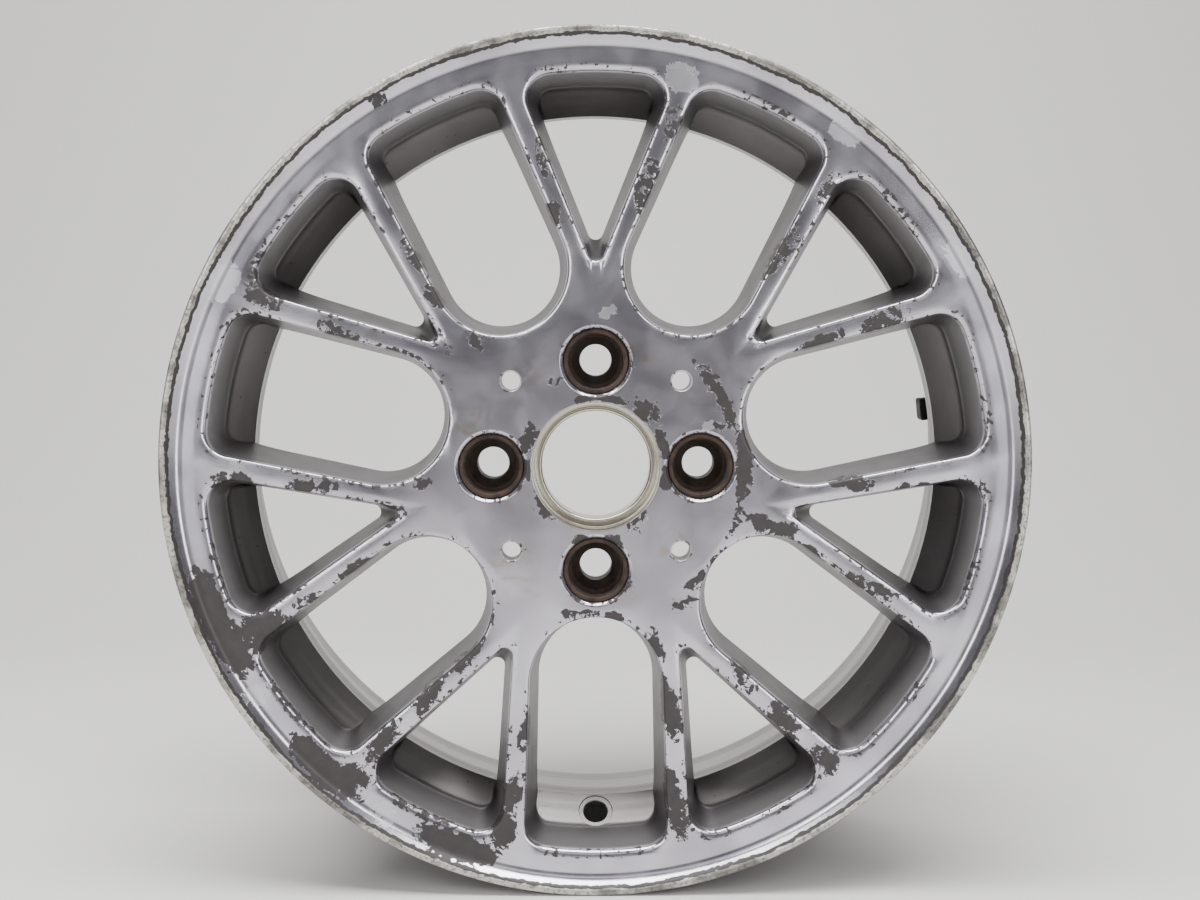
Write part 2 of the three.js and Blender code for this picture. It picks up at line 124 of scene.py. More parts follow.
def aimAt(obj, target):
    obj.rotation_euler = (Vector(target) - obj.location).to_track_quat("-Z", "Y").to_euler()


def makeCamera():
    data = bpy.data.cameras.new("camera")
    data.lens = camera["lens"]
    data.sensor_width = 36
    obj = bpy.data.objects.new("camera", data)
    obj.location = camera["place"]
    obj.rotation_euler = (math.pi / 2 - camera["tiltDown"], 0, -camera["turnRight"])
    bpy.context.scene.collection.objects.link(obj)
    bpy.context.scene.camera = obj


def makeStudio():
    ground = cadLow.z
    sweep, wall, reach, steps = (studio[name] for name in ("sweep", "backWall", "floorReach", "sweepSteps"))
    profile = [(-reach, ground), (wall - sweep, ground)]
    for turn in math.pi / 2 * np.arange(1, steps + 1) / steps:
        profile.append((wall - sweep + sweep * math.sin(turn), ground + sweep * (1 - math.cos(turn))))
    profile.append((wall, studio["wallTop"]))
    points = [(x, y, z) for x in (-reach, reach) for y, z in profile]
    count = len(profile)
    faces = [(i, i + 1, count + i + 1, count + i) for i in range(count - 1)]
    mesh = bpy.data.meshes.new("floor")
    mesh.from_pydata(points, [], faces)
    mesh.shade_smooth()
    floor = bpy.data.objects.new("floor", mesh)
    bpy.context.scene.collection.objects.link(floor)
    material, tree = newMaterial("mattePaper")  # seamless paper, dull and even
    shader = addNode(tree, "BsdfPrincipled", {}, Base_Color=linear(studio["floor"]),
                     Roughness=studio["floorRoughness"])
    addNode(tree, "OutputMaterial", {}, Surface=shader)
    mesh.materials.append(material)

    for name, (place, target, size, watts) in studio["lamps"].items():
        lamp = bpy.data.lights.new(name, "AREA")
        lamp.shape = "RECTANGLE"
        lamp.size, lamp.size_y = size
        lamp.energy = watts
        obj = bpy.data.objects.new(name, lamp)
        obj.location = place
        aimAt(obj, target)
        bpy.context.scene.collection.objects.link(obj)

    world = bpy.data.worlds.new("studio")
    bpy.context.scene.world = world
    world.use_nodes = True
    world.node_tree.nodes.clear()
    sky = addNode(world.node_tree, "Background", {}, linear(studio["world"]), studio["worldStrength"])
    addNode(world.node_tree, "OutputWorld", {}, Surface=sky)


makeCamera()
makeStudio()
print("stage: camera and studio")


# mesh patches, in millimetres: x, depth behind the front flange's edge, z

def newPiece():
    return {"points": [], "faces": [], "edge": [], "count": 0}


# A grid of points, rows by columns, with an edge value for each point.
def addGrid(piece, grid, edge=0.0):
    rows, columns = grid.shape[:2]
    start = piece["count"]
    piece["points"].append(grid.reshape(-1, 3))
    piece["edge"].append(np.broadcast_to(np.asarray(edge, float), (rows, columns)).reshape(-1))
    piece["count"] += rows * columns
    index = start + np.arange(rows * columns).reshape(rows, columns)
    quads = np.stack([index[:-1, :-1], index[:-1, 1:], index[1:, 1:], index[1:, :-1]], -1)
    piece["faces"].extend(quads.reshape(-1, 4).tolist())


# Triangles between two closed rings of points, each in order of angle.
def addZip(piece, ringA, ringB):
    start = piece["count"]
    piece["points"].extend([ringA, ringB])
    piece["edge"].append(np.zeros(len(ringA) + len(ringB)))
    piece["count"] += len(ringA) + len(ringB)
    angleA = np.unwrap(np.arctan2(ringA[:, 2], ringA[:, 0]))
    angleB = np.unwrap(np.arctan2(ringB[:, 2], ringB[:, 0]))
    angleB = angleB + tau * round((angleA[0] - angleB[0]) / tau)
    angleA = np.append(angleA, angleA[0] + tau)
    angleB = np.append(angleB, angleB[0] + tau)
    a = b = 0
    while a < len(ringA) or b < len(ringB):
        nowA, nowB = start + a % len(ringA), start + len(ringA) + b % len(ringB)
        if b >= len(ringB) or (a < len(ringA) and angleA[a + 1] <= angleB[b + 1]):
            a += 1
            piece["faces"].append((nowA, start + a % len(ringA), nowB))
        else:
            b += 1
            piece["faces"].append((nowA, start + len(ringA) + b % len(ringB), nowB))


# Points turned round the axis through the given angles; the profile is (depth, radius) pairs.
def turnedGrid(profile, angles):
    depth, radius = np.array(profile, float).T
    closed = np.append(angles, angles[0])
    grid = np.empty((len(depth), len(closed), 3))
    grid[..., 0] = radius[:, None] * np.cos(closed)
    grid[..., 1] = depth[:, None]
    grid[..., 2] = radius[:, None] * np.sin(closed)
    return grid


def ringOf(depth, radius, angles):
    return turnedGrid([(depth, radius)], angles)[0, :-1]


def evenAngles(count):
    return np.arange(count) * tau / count


# Holding points close beside each corner of a profile keep the flats flat when it is shaded smooth.
def held(profile, reach=0.35):
    points = [np.array(p, float) for p in profile]
    out = [points[0]]
    for before, here, after in zip(points, points[1:], points[2:]):
        for other in (before, after):
            span = np.linalg.norm(other - here)
            if span > 3 * reach:
                out.append(here + (other - here) * reach / span)
            if other is before:
                out.append(here)
    out.append(points[-1])
    return out


# Rounds the corners of a profile; each point is (depth, radius) or (depth, radius, rounding).
def rounded(profile, steps=4):
    out = []
    last = len(profile) - 1
    for i, p in enumerate(profile):
        here = np.array(p[:2], float)
        size = p[2] if len(p) > 2 else 0
        if size == 0 or i in (0, last):
            out.append(here)
            continue
        before = np.array(profile[i - 1][:2], float) - here
        after = np.array(profile[i + 1][:2], float) - here
        size = min(size, 0.48 * np.linalg.norm(before), 0.48 * np.linalg.norm(after))
        a = here + before * size / np.linalg.norm(before)
        b = here + after * size / np.linalg.norm(after)
        for t in np.linspace(0, 1, steps + 1):
            out.append((1 - t) ** 2 * a + 2 * t * (1 - t) * here + t * t * b)
    return out


# shared sizes of the forging

rim = {
    "width": 174.0, "faceDepth": 5.2, "lipCircle": 192.0, "flangeSplit": 193.85,
    "rampDepth": 34.4, "rampOuter": 188.4, "rampInner": 182.6,
    "wellInside": 169.3, "wellInsideDepth": 46.4, "webBack": 38.0, "webLean": 0.083,
    "backStart": 110.0, "backRise": 150.0,
}
webShape = {
    "pairs": 7, "splay": math.radians(23.05), "meet": 81.1, "rootWidth": 7.5,
    "taper": math.radians(0.75), "draft": math.tan(math.radians(8)), "crotch": 3.7, "wideRoot": 72.5,
    "corner": 12.0, "crown": 0.25, "sideRound": 1.6, "sideRoundDeep": 1.25, "endRound": 3.6,
    "endRoundDeep": 3.0, "hold": 0.35, "meetRun": 0.54,
    "backRound": 1.6, "hubCircle": 69.0, "hubBackCircle": 72.0,
    "spokeFrom": 110.0, "spokeTo": 160.0,
}

pairPitch = tau / webShape["pairs"]
pairAngles = [math.pi / 2 + i * pairPitch for i in range(webShape["pairs"])]
rampSlope = (rim["rampInner"] - rim["wellInside"]) / (rim["wellInsideDepth"] - rim["rampDepth"])


# Depth of the web's back and, further out, of the ramp, at a radius.
def backDepth(radius):
    lean = rim["webBack"] + rim["webLean"] * np.maximum(0, radius - rim["backStart"])
    share = np.clip((radius - rim["backRise"]) / (rim["wellInside"] - rim["backRise"]), 0, 1)
    top = rim["webBack"] + rim["webLean"] * (rim["wellInside"] - rim["backStart"])
    web = lean + (rim["wellInsideDepth"] - top) * share ** 2.5
    ramp = rim["rampDepth"] + (rim["rampInner"] - radius) / rampSlope
    return np.where(radius > rim["wellInside"], ramp, web)


def insetAt(depth):
    return (depth - rim["faceDepth"]) * webShape["draft"]


def endAt(depth):
    return rim["rampInner"] + (rim["rampDepth"] - depth) * webShape["draft"]


# Point of a window's half outline. The run goes 0 to 1 round the root, to 2 along the side,
# to 3 round the corner and to 4 along the outer end.
def outline(wide, run, inset, end):
    run, inset, end = np.broadcast_arrays(np.asarray(run, float), inset, end)
    pairAngle = pairPitch / 2 if wide else 0
    side = pairAngle - webShape["splay"] - webShape["taper"] if wide else (
        webShape["splay"] - webShape["taper"])
    reach = webShape["meet"] * math.sin(pairAngle - side) - webShape["rootWidth"] / 2 - inset
    if wide:
        root = (reach + (webShape["wideRoot"] + inset) * math.sin(side)) / (1 - math.sin(side))
        rootCentre = webShape["wideRoot"] + inset + root
    else:
        root = np.full_like(reach, webShape["crotch"])
        rootCentre = (root - reach) / math.sin(side)
    corner = webShape["corner"] - inset
    cornerAngle = side + np.arcsin((reach - corner) / (end - corner))
    centreU = (end - corner) * np.cos(cornerAngle)
    centreV = (end - corner) * np.sin(cornerAngle)
    normal = math.pi / 2 + side
    part = [np.clip(run - i, 0, 1) for i in range(4)]
    rootTurn = math.pi + (normal - math.pi) * part[0]
    cornerTurn = normal + (cornerAngle - normal) * part[2]
    endTurn = cornerAngle * (1 - part[3])
    rootU, rootV = rootCentre + root * np.cos(rootTurn), root * np.sin(rootTurn)
    cornerU = centreU + corner * np.cos(cornerTurn)
    cornerV = centreV + corner * np.sin(cornerTurn)
    sideU, sideV = rootU + (cornerU - rootU) * part[1], rootV + (cornerV - rootV) * part[1]
    u = np.select([run <= 1, run <= 2, run <= 3], [rootU, sideU, cornerU], end * np.cos(endTurn))
    v = np.select([run <= 1, run <= 2, run <= 3], [rootV, sideV, cornerV], end * np.sin(endTurn))
    return u, v


# Distance along a spoke's centre line, from where its pair meets, to a radius.
def alongSpoke(radius):
    b = webShape["meet"] * math.cos(webShape["splay"])
    return -b + math.sqrt(b * b - webShape["meet"] ** 2 + radius ** 2)


def spokePoint(wide, t):
    pairAngle = pairPitch / 2 if wide else 0
    heading = pairAngle - webShape["splay"] if wide else webShape["splay"]
    return (webShape["meet"] * math.cos(pairAngle) + t * math.cos(heading),
            webShape["meet"] * math.sin(pairAngle) + t * math.sin(heading))


def projected(wide, run):
    u, v = outline(wide, run, 0.0, endAt(rim["faceDepth"]))
    u0, v0 = spokePoint(wide, 0)
    u1, v1 = spokePoint(wide, 1)
    return float((u - u0) * (u1 - u0) + (v - v0) * (v1 - v0))


tipFront = alongSpoke(rim["lipCircle"])
tipBack = alongSpoke(rim["wellInside"])
splitIn = alongSpoke(webShape["spokeFrom"])
splitOut = alongSpoke(webShape["spokeTo"])
narrowSide = projected(False, 1)
cornerStart = min(projected(False, 2), projected(True, 2))
stations = np.concatenate([
    np.linspace(0, narrowSide, 9)[:-1],
    np.linspace(narrowSide, splitIn, 6)[:-1],
    np.linspace(splitIn, splitOut, 22)[:-1],
    np.linspace(splitOut, cornerStart, 6)[:-1],
    np.linspace(cornerStart, tipFront, 7),
])
stationIn = 13
stationOut = 34


# The point on the circle of radius 1 at an angle.
def ray(angle):
    return np.stack([np.cos(angle), np.sin(angle)], -1)


# First columns of a wide half cell: along a circle round the hub, then out to where a pair meets.
def leadPoints(circle):
    half = pairPitch / 2
    out = np.linspace(circle, webShape["meet"], 5)[1:-1]
    return np.concatenate([circle * ray(np.linspace(0, half, 9)), out[:, None] * ray(half)])


# One half of a window's cell: every column runs from the front, over the window's edge, down its
# wall, round the back edge and over the web's back or the ramp.
def halfCell(wide):
    meetRun = webShape["meetRun"] if wide else 0
    runs = np.interp(stations, [0, projected(wide, 1), projected(wide, 2), tipFront], [meetRun, 1, 2, 2.5])
    front = [np.stack(spokePoint(wide, stations), -1)]
    lead = 0
    if wide:
        front.insert(0, leadPoints(webShape["hubCircle"]))
        lead = len(front[0])
        runs = np.concatenate([np.linspace(0, 0.4, 9), np.linspace(0.4, meetRun, 5)[1:-1], runs])
    lipRuns = np.concatenate([np.linspace(2.5, 3, 6)[1:], np.linspace(3, 4, 10)[1:]])
    tipU, tipV = front[-1][-1]
    endU, endV = outline(wide, 3.0, 0.0, endAt(rim["faceDepth"]))
    lipAngles = np.interp(lipRuns, [2.5, 3, 4], [math.atan2(tipV, tipU), math.atan2(endV, endU), 0])
    runs = np.concatenate([runs, lipRuns])
    front = np.concatenate(front + [rim["lipCircle"] * ray(lipAngles)])

    wall = lambda depth: np.stack([*outline(wide, runs, insetAt(depth), endAt(depth)),
                                   np.broadcast_to(depth, runs.shape)], -1)
    foot = np.full_like(runs, rim["webBack"])
    for _ in range(40):
        place = wall(foot)
        foot = 0.5 * foot + 0.5 * backDepth(np.hypot(place[:, 0], place[:, 1]))
    footPoint = wall(foot)
    footRadius = np.hypot(footPoint[:, 0], footPoint[:, 1])
    crossing = int(np.argmax(footRadius[lead:] > rim["wellInside"])) + lead - 1
    return {"wide": wide, "runs": runs, "front": front, "lead": lead, "line": lead + len(stations),
            "wall": wall, "foot": foot, "footPoint": footPoint, "crossing": crossing,
            "footAngle": np.arctan2(footPoint[:, 1], footPoint[:, 0])}


def bezier(a, control, b, t):
    return (1 - t) ** 2 * a + 2 * t * (1 - t) * control + t * t * b


# Where the columns end on the back: round the hub, along the spoke's centre line, then on the
# circle where the well starts.
def backBorder(cell, lastLine):
    lead, crossing, columns = cell["lead"], cell["crossing"], len(cell["runs"])
    back = np.zeros((columns, 2))
    if cell["wide"]:
        back[:lead] = leadPoints(webShape["hubBackCircle"])
    used = stations[:lastLine + 1]
    stretch = used + (tipBack - used[-1]) * (used / used[-1]) ** 4
    back[lead:lead + lastLine + 1] = np.stack(spokePoint(cell["wide"], stretch), -1)
    lineEnd = math.atan2(back[lead + lastLine, 1], back[lead + lastLine, 0])
    fan = crossing - lead - lastLine
    share = np.arange(1, fan + 1) / (fan + 1)
    angles = np.concatenate([lineEnd + (cell["footAngle"][crossing + 1] - lineEnd) * share,
                             cell["footAngle"][crossing + 1:]])
    back[lead + lastLine + 1:] = rim["wellInside"] * ray(angles)
    return back


# Fills in a half cell's grid of points, from its front to its back, and their edge values.
def finishCell(cell, lastLine):
    s = webShape
    wide, runs, wall, foot = cell["wide"], cell["runs"], cell["wall"], cell["foot"]
    columns = len(runs)
    back = backBorder(cell, lastLine)
    face = rim["faceDepth"]
    onFace = lambda uv: np.concatenate([uv, np.full((columns, 1), face)], -1)
    onBack = lambda uv: np.concatenate([uv, backDepth(np.hypot(uv[:, 0], uv[:, 1]))[:, None]], -1)
    deep = np.interp(runs, [2, 3], [s["sideRoundDeep"], s["endRoundDeep"]])
    start = onFace(np.stack(outline(wide, runs, -s["sideRound"], endAt(face) + s["endRound"]), -1))
    corner = onFace(np.stack(outline(wide, runs, 0.0, endAt(face)), -1))
    wallTop = wall(face + deep)
    front = onFace(cell["front"])
    width = np.linalg.norm(front - start, axis=1)
    crown = s["crown"] * np.minimum(1, width / 4) ** 2
    rows, edge = [front], [0.0]
    for t, value in ((0.25, 0.15), (0.5, 0.4), (0.75, 0.7), (0.93, 0.95), (1, 1.0)):
        row = front + (start - front) * t
        row[:, 2] += crown * t * t
        rows.append(row)
        edge.append(value)
    start = rows[-1]
    corner[:, 2] += crown * (1 + 2 * s["sideRound"] / np.maximum(width, 1))
    rows += [bezier(start, corner, wallTop, t) for t in (0.2, 0.4, 0.6, 0.8)]
    hold = s["hold"]
    rows += [wallTop, wall(face + deep + hold)]
    edge += [1.0] * 5 + [0.9]
    wallFoot = foot - s["backRound"]
    for t in (0.12, 0.35, 0.65, 0.9):
        rows.append(wall(face + deep + hold + (wallFoot - 2 * hold - face - deep) * t))
        edge.append(0.35 * (1 - t))
    rows += [wall(wallFoot - hold), wall(wallFoot)]
    footUv = cell["footPoint"][:, :2]
    toBack = back - footUv
    span = np.linalg.norm(toBack, axis=1, keepdims=True)
    begin = footUv + toBack * np.minimum(s["backRound"], 0.4 * span) / np.maximum(span, 1e-6)
    rows += [bezier(rows[-1], cell["footPoint"], onBack(begin), t) for t in (0.25, 0.5, 0.75)]
    cell["seam"] = len(rows) - 2
    rows += [onBack(begin + (back - begin) * t) for t in (0, 0.08, 0.35, 0.65, 1)]
    cell["grid"] = np.stack(rows)
    edge += [0.0] * (len(rows) - len(edge))
    cell["edge"] = np.array(edge)[:, None] * np.ones(columns)


# The cell's grid turned into its place; the mirrored half has the sign -1.
def placed(grid, angle, sign):
    u, v, depth = grid[..., 0], grid[..., 1] * sign, grid[..., 2]
    return np.stack([u * math.cos(angle) - v * math.sin(angle), depth,
                     u * math.sin(angle) + v * math.cos(angle)], -1)


cells = {False: halfCell(False), True: halfCell(True)}
lastLine = min(cell["crossing"] - cell["lead"] for cell in cells.values()) - 1
assert lastLine >= stationOut
for cell in cells.values():
    finishCell(cell, lastLine)
print("stage: window cells,", lastLine, "stations before the well")


# Every half cell of the web, with its angle and which half it is.
def halfCells():
    for centre in pairAngles:
        for wide in (False, True):
            for sign in (1, -1):
                yield cells[wide], centre + (pairPitch / 2 if wide else 0), sign


# Adds some rows and columns of a half cell at its place.
def addCell(piece, cell, angle, sign, rows, columns):
    addGrid(piece, placed(cell["grid"][rows, columns], angle, sign), cell["edge"][rows, columns])


# Where the paint has come off down to the primer: angle from and to in degrees, radius from and
# to in mm, and how complete the loss is.
chips = [
    (193.5, 208, 188.5, 204, 1.5), (200.5, 211.5, 186.5, 203, 1.5), (203, 208.3, 164, 192, 1.3),
    (221, 235.5, 188.5, 203.5, 1.5), (229, 235, 184, 194, 1.1), (243, 257, 188.5, 203, 1.5),
    (253.8, 258, 172, 192, 1.3), (206.5, 209.5, 178, 188, 1.2), (119.3, 122.2, 197, 204, 1.0),
    (-16, 17, 66.5, 75.5, 1.2), (14, 49, 65, 72, 1.15), (-30, -12, 69, 74, 0.9), (15.5, 19.5, 56, 68, 0.9),
    (-22.5, -15, 74, 92, 1.0), (-21, -15.5, 88, 103, 1.0), (297.5, 308, 75, 81, 1.1),
    (305, 318, 70.5, 75, 1.0), (255, 264, 69.5, 76, 0.85), (264, 273, 68.5, 71.5, 0.8),
    (272, 281, 69.5, 78, 0.9), (182.5, 187.5, 78, 89, 0.95), (131, 136.5, 77, 87, 0.95),
    (139.5, 144.5, 87.5, 90.5, 0.7), (90, 109, 30.5, 35, 1.2), (109, 125, 43.5, 47.5, 0.8),
    (143, 172, 30.5, 38.5, 1.2), (170, 194, 30.5, 36.5, 1.2), (250, 266, 33, 41, 1.1),
    (272, 290, 33, 43, 1.1), (292, 324, 30.5, 36, 1.15), (338, 362, 30.5, 38, 1.2),
    (5, 35, 30.5, 36.5, 1.15), (31, 62, 30.5, 39.5, 1.25), (60, 92, 30.5, 35, 1.15),
    (196, 236, 30, 34, 1.0), (97.5, 101.5, 112, 130, 0.9), (98, 101.2, 136, 160, 0.75),
    (128.5, 132.5, 118, 142, 0.8), (131, 136, 102, 120, 0.95), (148.5, 153, 100, 116, 0.8),
    (150.5, 154.5, 120, 150, 0.7), (151, 155, 165, 190, 0.75), (182, 186, 120, 150, 0.9),
    (180.5, 184, 160, 186, 0.8), (201, 206, 108, 135, 0.85), (203.5, 206, 138, 163, 0.7),
    (232, 236, 122, 150, 0.85), (233.5, 238.5, 100, 122, 0.9), (230.5, 234, 152, 185, 0.9),
    (253.5, 257.5, 118, 145, 0.85), (253.5, 257.5, 150, 176, 0.85), (281, 285, 146, 188, 1.05),
    (284, 289.5, 100, 140, 1.05), (285, 291, 80, 102, 0.8), (304, 309, 140, 165, 0.85),
    (303, 307, 112, 136, 0.75), (306, 310, 170, 190, 0.85), (335, 340, 95, 120, 0.95),
    (334.5, 338, 125, 160, 0.75), (354, 358.5, 110, 135, 0.85), (353.5, 357.5, 140, 165, 0.7),
    (26.5, 31, 105, 135, 1.0), (24.5, 29, 138, 168, 0.85), (47, 51.5, 115, 150, 0.75),
    (77, 82.5, 118, 150, 0.8), (75.5, 79, 155, 176, 0.65), (48.5, 52, 160, 182, 0.6),
]
# Where the clear coat has lifted and looks paler.
lifted = [
    (150, 157, 188, 204, 1.0), (26.5, 33.5, 192, 202, 1.0), (50.5, 56.5, 190, 201, 0.9),
    (74.5, 80.5, 179, 196, 1.0), (17, 22.5, 53, 65, 0.9), (81, 90, 70, 77.5, 0.9),
    (212, 216, 186, 205, 0.8), (236, 241, 186, 205, 0.7),
]
# Yellowish stains under the clear coat.
stains = [
    (146, 174, 54, 72, 1.0), (218, 242, 48, 80, 1.0), (60, 80, 52, 66, 0.7), (196, 206, 30, 50, 0.7),
    (268, 300, 58, 68, 0.8), (112, 140, 48, 62, 0.7), (300, 330, 42, 62, 0.8), (234, 250, 62, 72, 0.9),
]


# How square a patch is, how far past its border it fades out, its greatest weight, and the depths
# in mm between which all wear fades away behind the front.
wear = {"square": 2.4, "reach": 1.15, "most": 1.25, "full": 10, "none": 16}


# The strongest of the patches at each point, 0 outside them.
def patchWeight(points, patches):
    radius = np.hypot(points[:, 0], points[:, 2])
    angle = np.degrees(np.arctan2(points[:, 2], points[:, 0]))
    weight = np.zeros(len(points))
    for a0, a1, r0, r1, strength in patches:
        away = (angle - (a0 + a1) / 2 + 180) % 360 - 180
        around = np.abs(away) / ((a1 - a0) / 2)
        across = np.abs(radius - (r0 + r1) / 2) / ((r1 - r0) / 2)
        fall = around ** wear["square"] + across ** wear["square"]
        weight = np.maximum(weight, np.clip(strength * (wear["reach"] - fall), 0, wear["most"]))
    return weight


# Stores the three kinds of patches on a mesh's points.
def addWear(mesh):
    count = len(mesh.vertices)
    points = np.empty(count * 3)
    mesh.vertices.foreach_get("co", points)
    points = points.reshape(-1, 3) / mm
    depth = points[:, 1] + rim["width"] / 2
    front = np.clip((wear["none"] - depth) / (wear["none"] - wear["full"]), 0, 1)
    for name, patches in (("chip", chips), ("lifted", lifted), ("stain", stains)):
        layer = mesh.attributes.new(name, "FLOAT", "POINT")
        layer.data.foreach_set("value", (patchWeight(points, patches) * front).astype(np.float32))


# The parts of a place that patterns use: the place itself, how far it lies along the wheel's
# axis, and how far from it.
def wheelCoordinates(tree):
    place = addNode(tree, "TexCoord", {}).outputs["Object"]
    x, along, z = addNode(tree, "SeparateXYZ", {}, place).outputs
    across = addNode(tree, "CombineXYZ", {}, x, 0, z)
    return place, along, addNode(tree, "VectorMath", {"operation": "LENGTH"}, across)


# Closes a material: one principled surface with bumps, whose height is in mm.
def addSurface(tree, height, **inputs):
    bump = addNode(tree, "Bump", {}, Strength=1.0, Distance=mm, Height=height)
    shader = addNode(tree, "BsdfPrincipled", {}, Normal=bump, **inputs)
    addNode(tree, "OutputMaterial", {}, Surface=shader)


silverLook = {
    # sideWallPaintAndShade: the side walls' darker paint, with painted shade of the window walls mixed in
    "paint": "#c3c0c9", "paintDull": "#a6a3ac", "sideWallPaintAndShade": "#686567",
    "primer": "#393435", "primerDark": "#1f1c1d", "bare": "#bcb8b1", "pit": "#2b2725",
    "boreBare": "#c3bfb3", "filmPale": "#cfd0d3", "stain": "#a08a63",
    "roughness": 0.22, "sideRoughness": 0.42, "filmRoughness": 0.42, "primerRoughness": 0.5,
    "bareRoughness": 0.36, "pitRoughness": 0.65, "boreRoughness": 0.2,
    "metallic": 0.95, "sideMetallic": 0.8, "primerMetallic": 0.15, "pitMetallic": 0.5,
    "coat": 0.12, "coatRoughness": 0.12,
    # in mm: where the flange's bare edge starts, the torn line before it, the bare bore, the
    # depths between which the paint turns from bright to thin
    "edgeFrom": 203.9, "edgeLine": 1.5, "boreEdge": 31.0, "sideFrom": 6.2, "sideTo": 10.5,
    # sizes of the patterns in mm, and how far each one moves the border of a scab
    "flake": 4.6, "shard": 2.8, "grit": 1.1, "nick": 3.0, "bend": 3.0, "bendBy": 1.2,
    "flakeShare": 2.2, "shardShare": 0.75, "gritShare": 0.3, "filmShare": 2.4,
    "broad": 38, "orangePeel": 2.6, "turning": 0.7, "pitSize": 1.6,
    # heights in mm
    "filmStep": 0.14, "peelHeight": 0.012, "pitDepth": 0.08, "liftHeight": 0.05, "turnHeight": 0.09,
}


# Hyper silver paint on primer over forged aluminium: fine metal flake gives a satin mirror, and
# the brittle film has flaked in hard-edged scabs that leave the dark primer showing.
def makeSilver():
    material, tree = newMaterial("hyperSilverPaintOnAluminium")
    node = partial(addNode, tree)
    look = silverLook
    place, along, radius = wheelCoordinates(tree)
    edge, chip, film, stain = (node("Attribute", {"attribute_name": name}).outputs["Fac"]
                               for name in ("edge", "chip", "lifted", "stain"))
    ragged = node("TexNoise", {}, place, each(look["flake"]), 7.0, 0.66, Distortion=0.8)
    fine = node("TexNoise", {}, place, each(look["nick"]), 3.0, 0.6, Distortion=0.3)
    broad = node("TexNoise", {}, place, each(look["broad"]), 2.0, 0.5)
    bend = node("TexNoise", {}, place, each(look["bend"]), 3.0, 0.5).outputs["Color"]
    bent = node("VectorMath", timesPlus, bend, [look["bendBy"] * mm] * 3, place)
    shards, grit = (
        node("SeparateColor", {}, node("TexVoronoi", {}, bent, each(look[size])).outputs["Color"])
        for size in ("shard", "grit"))

    # large scabs, broken up at their borders into shards
    shares = ((ragged, look["flakeShare"]), (shards, look["shardShare"]), (grit, look["gritShare"]))
    torn = -0.5 * sum(share for pattern, share in shares)
    for pattern, share in shares:
        torn = node("Math", timesPlus, pattern, share, torn)
    torn = node("Math", timesPlus, torn, node("MapRange", smoothly, chip, 0.0, 0.4), chip)
    scab = node("MapRange", smoothly, torn, 0.50, 0.52)

    # small flakes along the edges
    nick = node("Math", times, node("Math", {"operation": "POWER"}, edge, 3.0), 0.2)
    for pattern, share in ((broad, 0.3), (fine, 0.62), (shards, 0.08)):
        nick = node("Math", timesPlus, pattern, share, nick)
    nick = node("MapRange", smoothly, nick, 0.757, 0.762)

    # the bare, chipped edge of the flange, with a torn border
    bareAt = node("Math", timesPlus, ragged, 3.4 * mm, -0.5 * 3.4 * mm)
    bareAt = node("Math", timesPlus, broad, 2.2 * mm, node("Math", plus, bareAt, -0.5 * 2.2 * mm))
    bareAt = node("Math", plus, bareAt, radius)
    start, line = look["edgeFrom"] * mm, look["edgeLine"] * mm
    edgeBare = node("MapRange", smoothly, bareAt, start, start + 0.15 * mm)
    edgeTorn = node("MapRange", smoothly, bareAt, start - line, start - line + 0.1 * mm)
    edgeLine = node("Math", minus, edgeTorn, edgeBare)
    gone = node("Math", larger, node("Math", larger, scab, nick), edgeTorn)
    pitNoise = node("TexNoise", {}, place, each(look["pitSize"]), 5.0, 0.7)
    pits = node("MapRange", smoothly, pitNoise, 0.50, 0.62)
    soiled = node("MapRange", smoothly, node("TexNoise", {}, place, each(26), 3.0, 0.6), 0.48, 0.62)

    # the machined bore is bare, and the side walls are darker: partly thinner paint, partly painted shade of
    # the window walls
    front = rim["width"] / 2
    side = node("MapRange", smoothly, along, (look["sideFrom"] - front) * mm, (look["sideTo"] - front) * mm)
    bore = node("Math", {"operation": "LESS_THAN"}, radius, look["boreEdge"] * mm)

    # clear coat that has lifted, and stains
    lift = node("Math", timesPlus, ragged, look["filmShare"], -0.5 * look["filmShare"])
    lift = node("Math", timesPlus, lift, node("MapRange", smoothly, film, 0.0, 0.4), film)
    lift = node("MapRange", smoothly, lift, 0.55, 0.57, 0.0, 0.45)
    runs = node("TexNoise", {}, place, each(9), 5.0, 0.6, Distortion=1.0)
    runs = node("MapRange", smoothly, runs, 0.45, 0.7, 0.0, 0.55)
    stained = node("Math", times, stain, runs)

    patches = node("TexNoise", {}, place, each(5), 5.0, 0.6)
    primer = node("Mix", colours, patches, linear(look["primerDark"]), linear(look["primer"]))
    bare = node("Mix", colours, node("Math", times, pits, 0.6), linear(look["bare"]), linear(look["pit"]))
    bare = node("Mix", colours, node("Math", times, soiled, 0.65), bare, linear(look["pit"]))
    turned = node("Mix", colours, node("Math", times, fine, 0.16), linear(look["boreBare"]),
                  linear(look["stain"]))
    colour = linear(look["paint"])
    for mask, layer in ((node("MapRange", smoothly, broad, 0.35, 0.7), linear(look["paintDull"])),
                        (lift, linear(look["filmPale"])), (stained, linear(look["stain"])),
                        (side, linear(look["sideWallPaintAndShade"])), (gone, primer), (edgeLine, linear(look["pit"])),
                        (edgeBare, bare), (bore, turned)):
        colour = node("Mix", colours, mask, colour, layer)

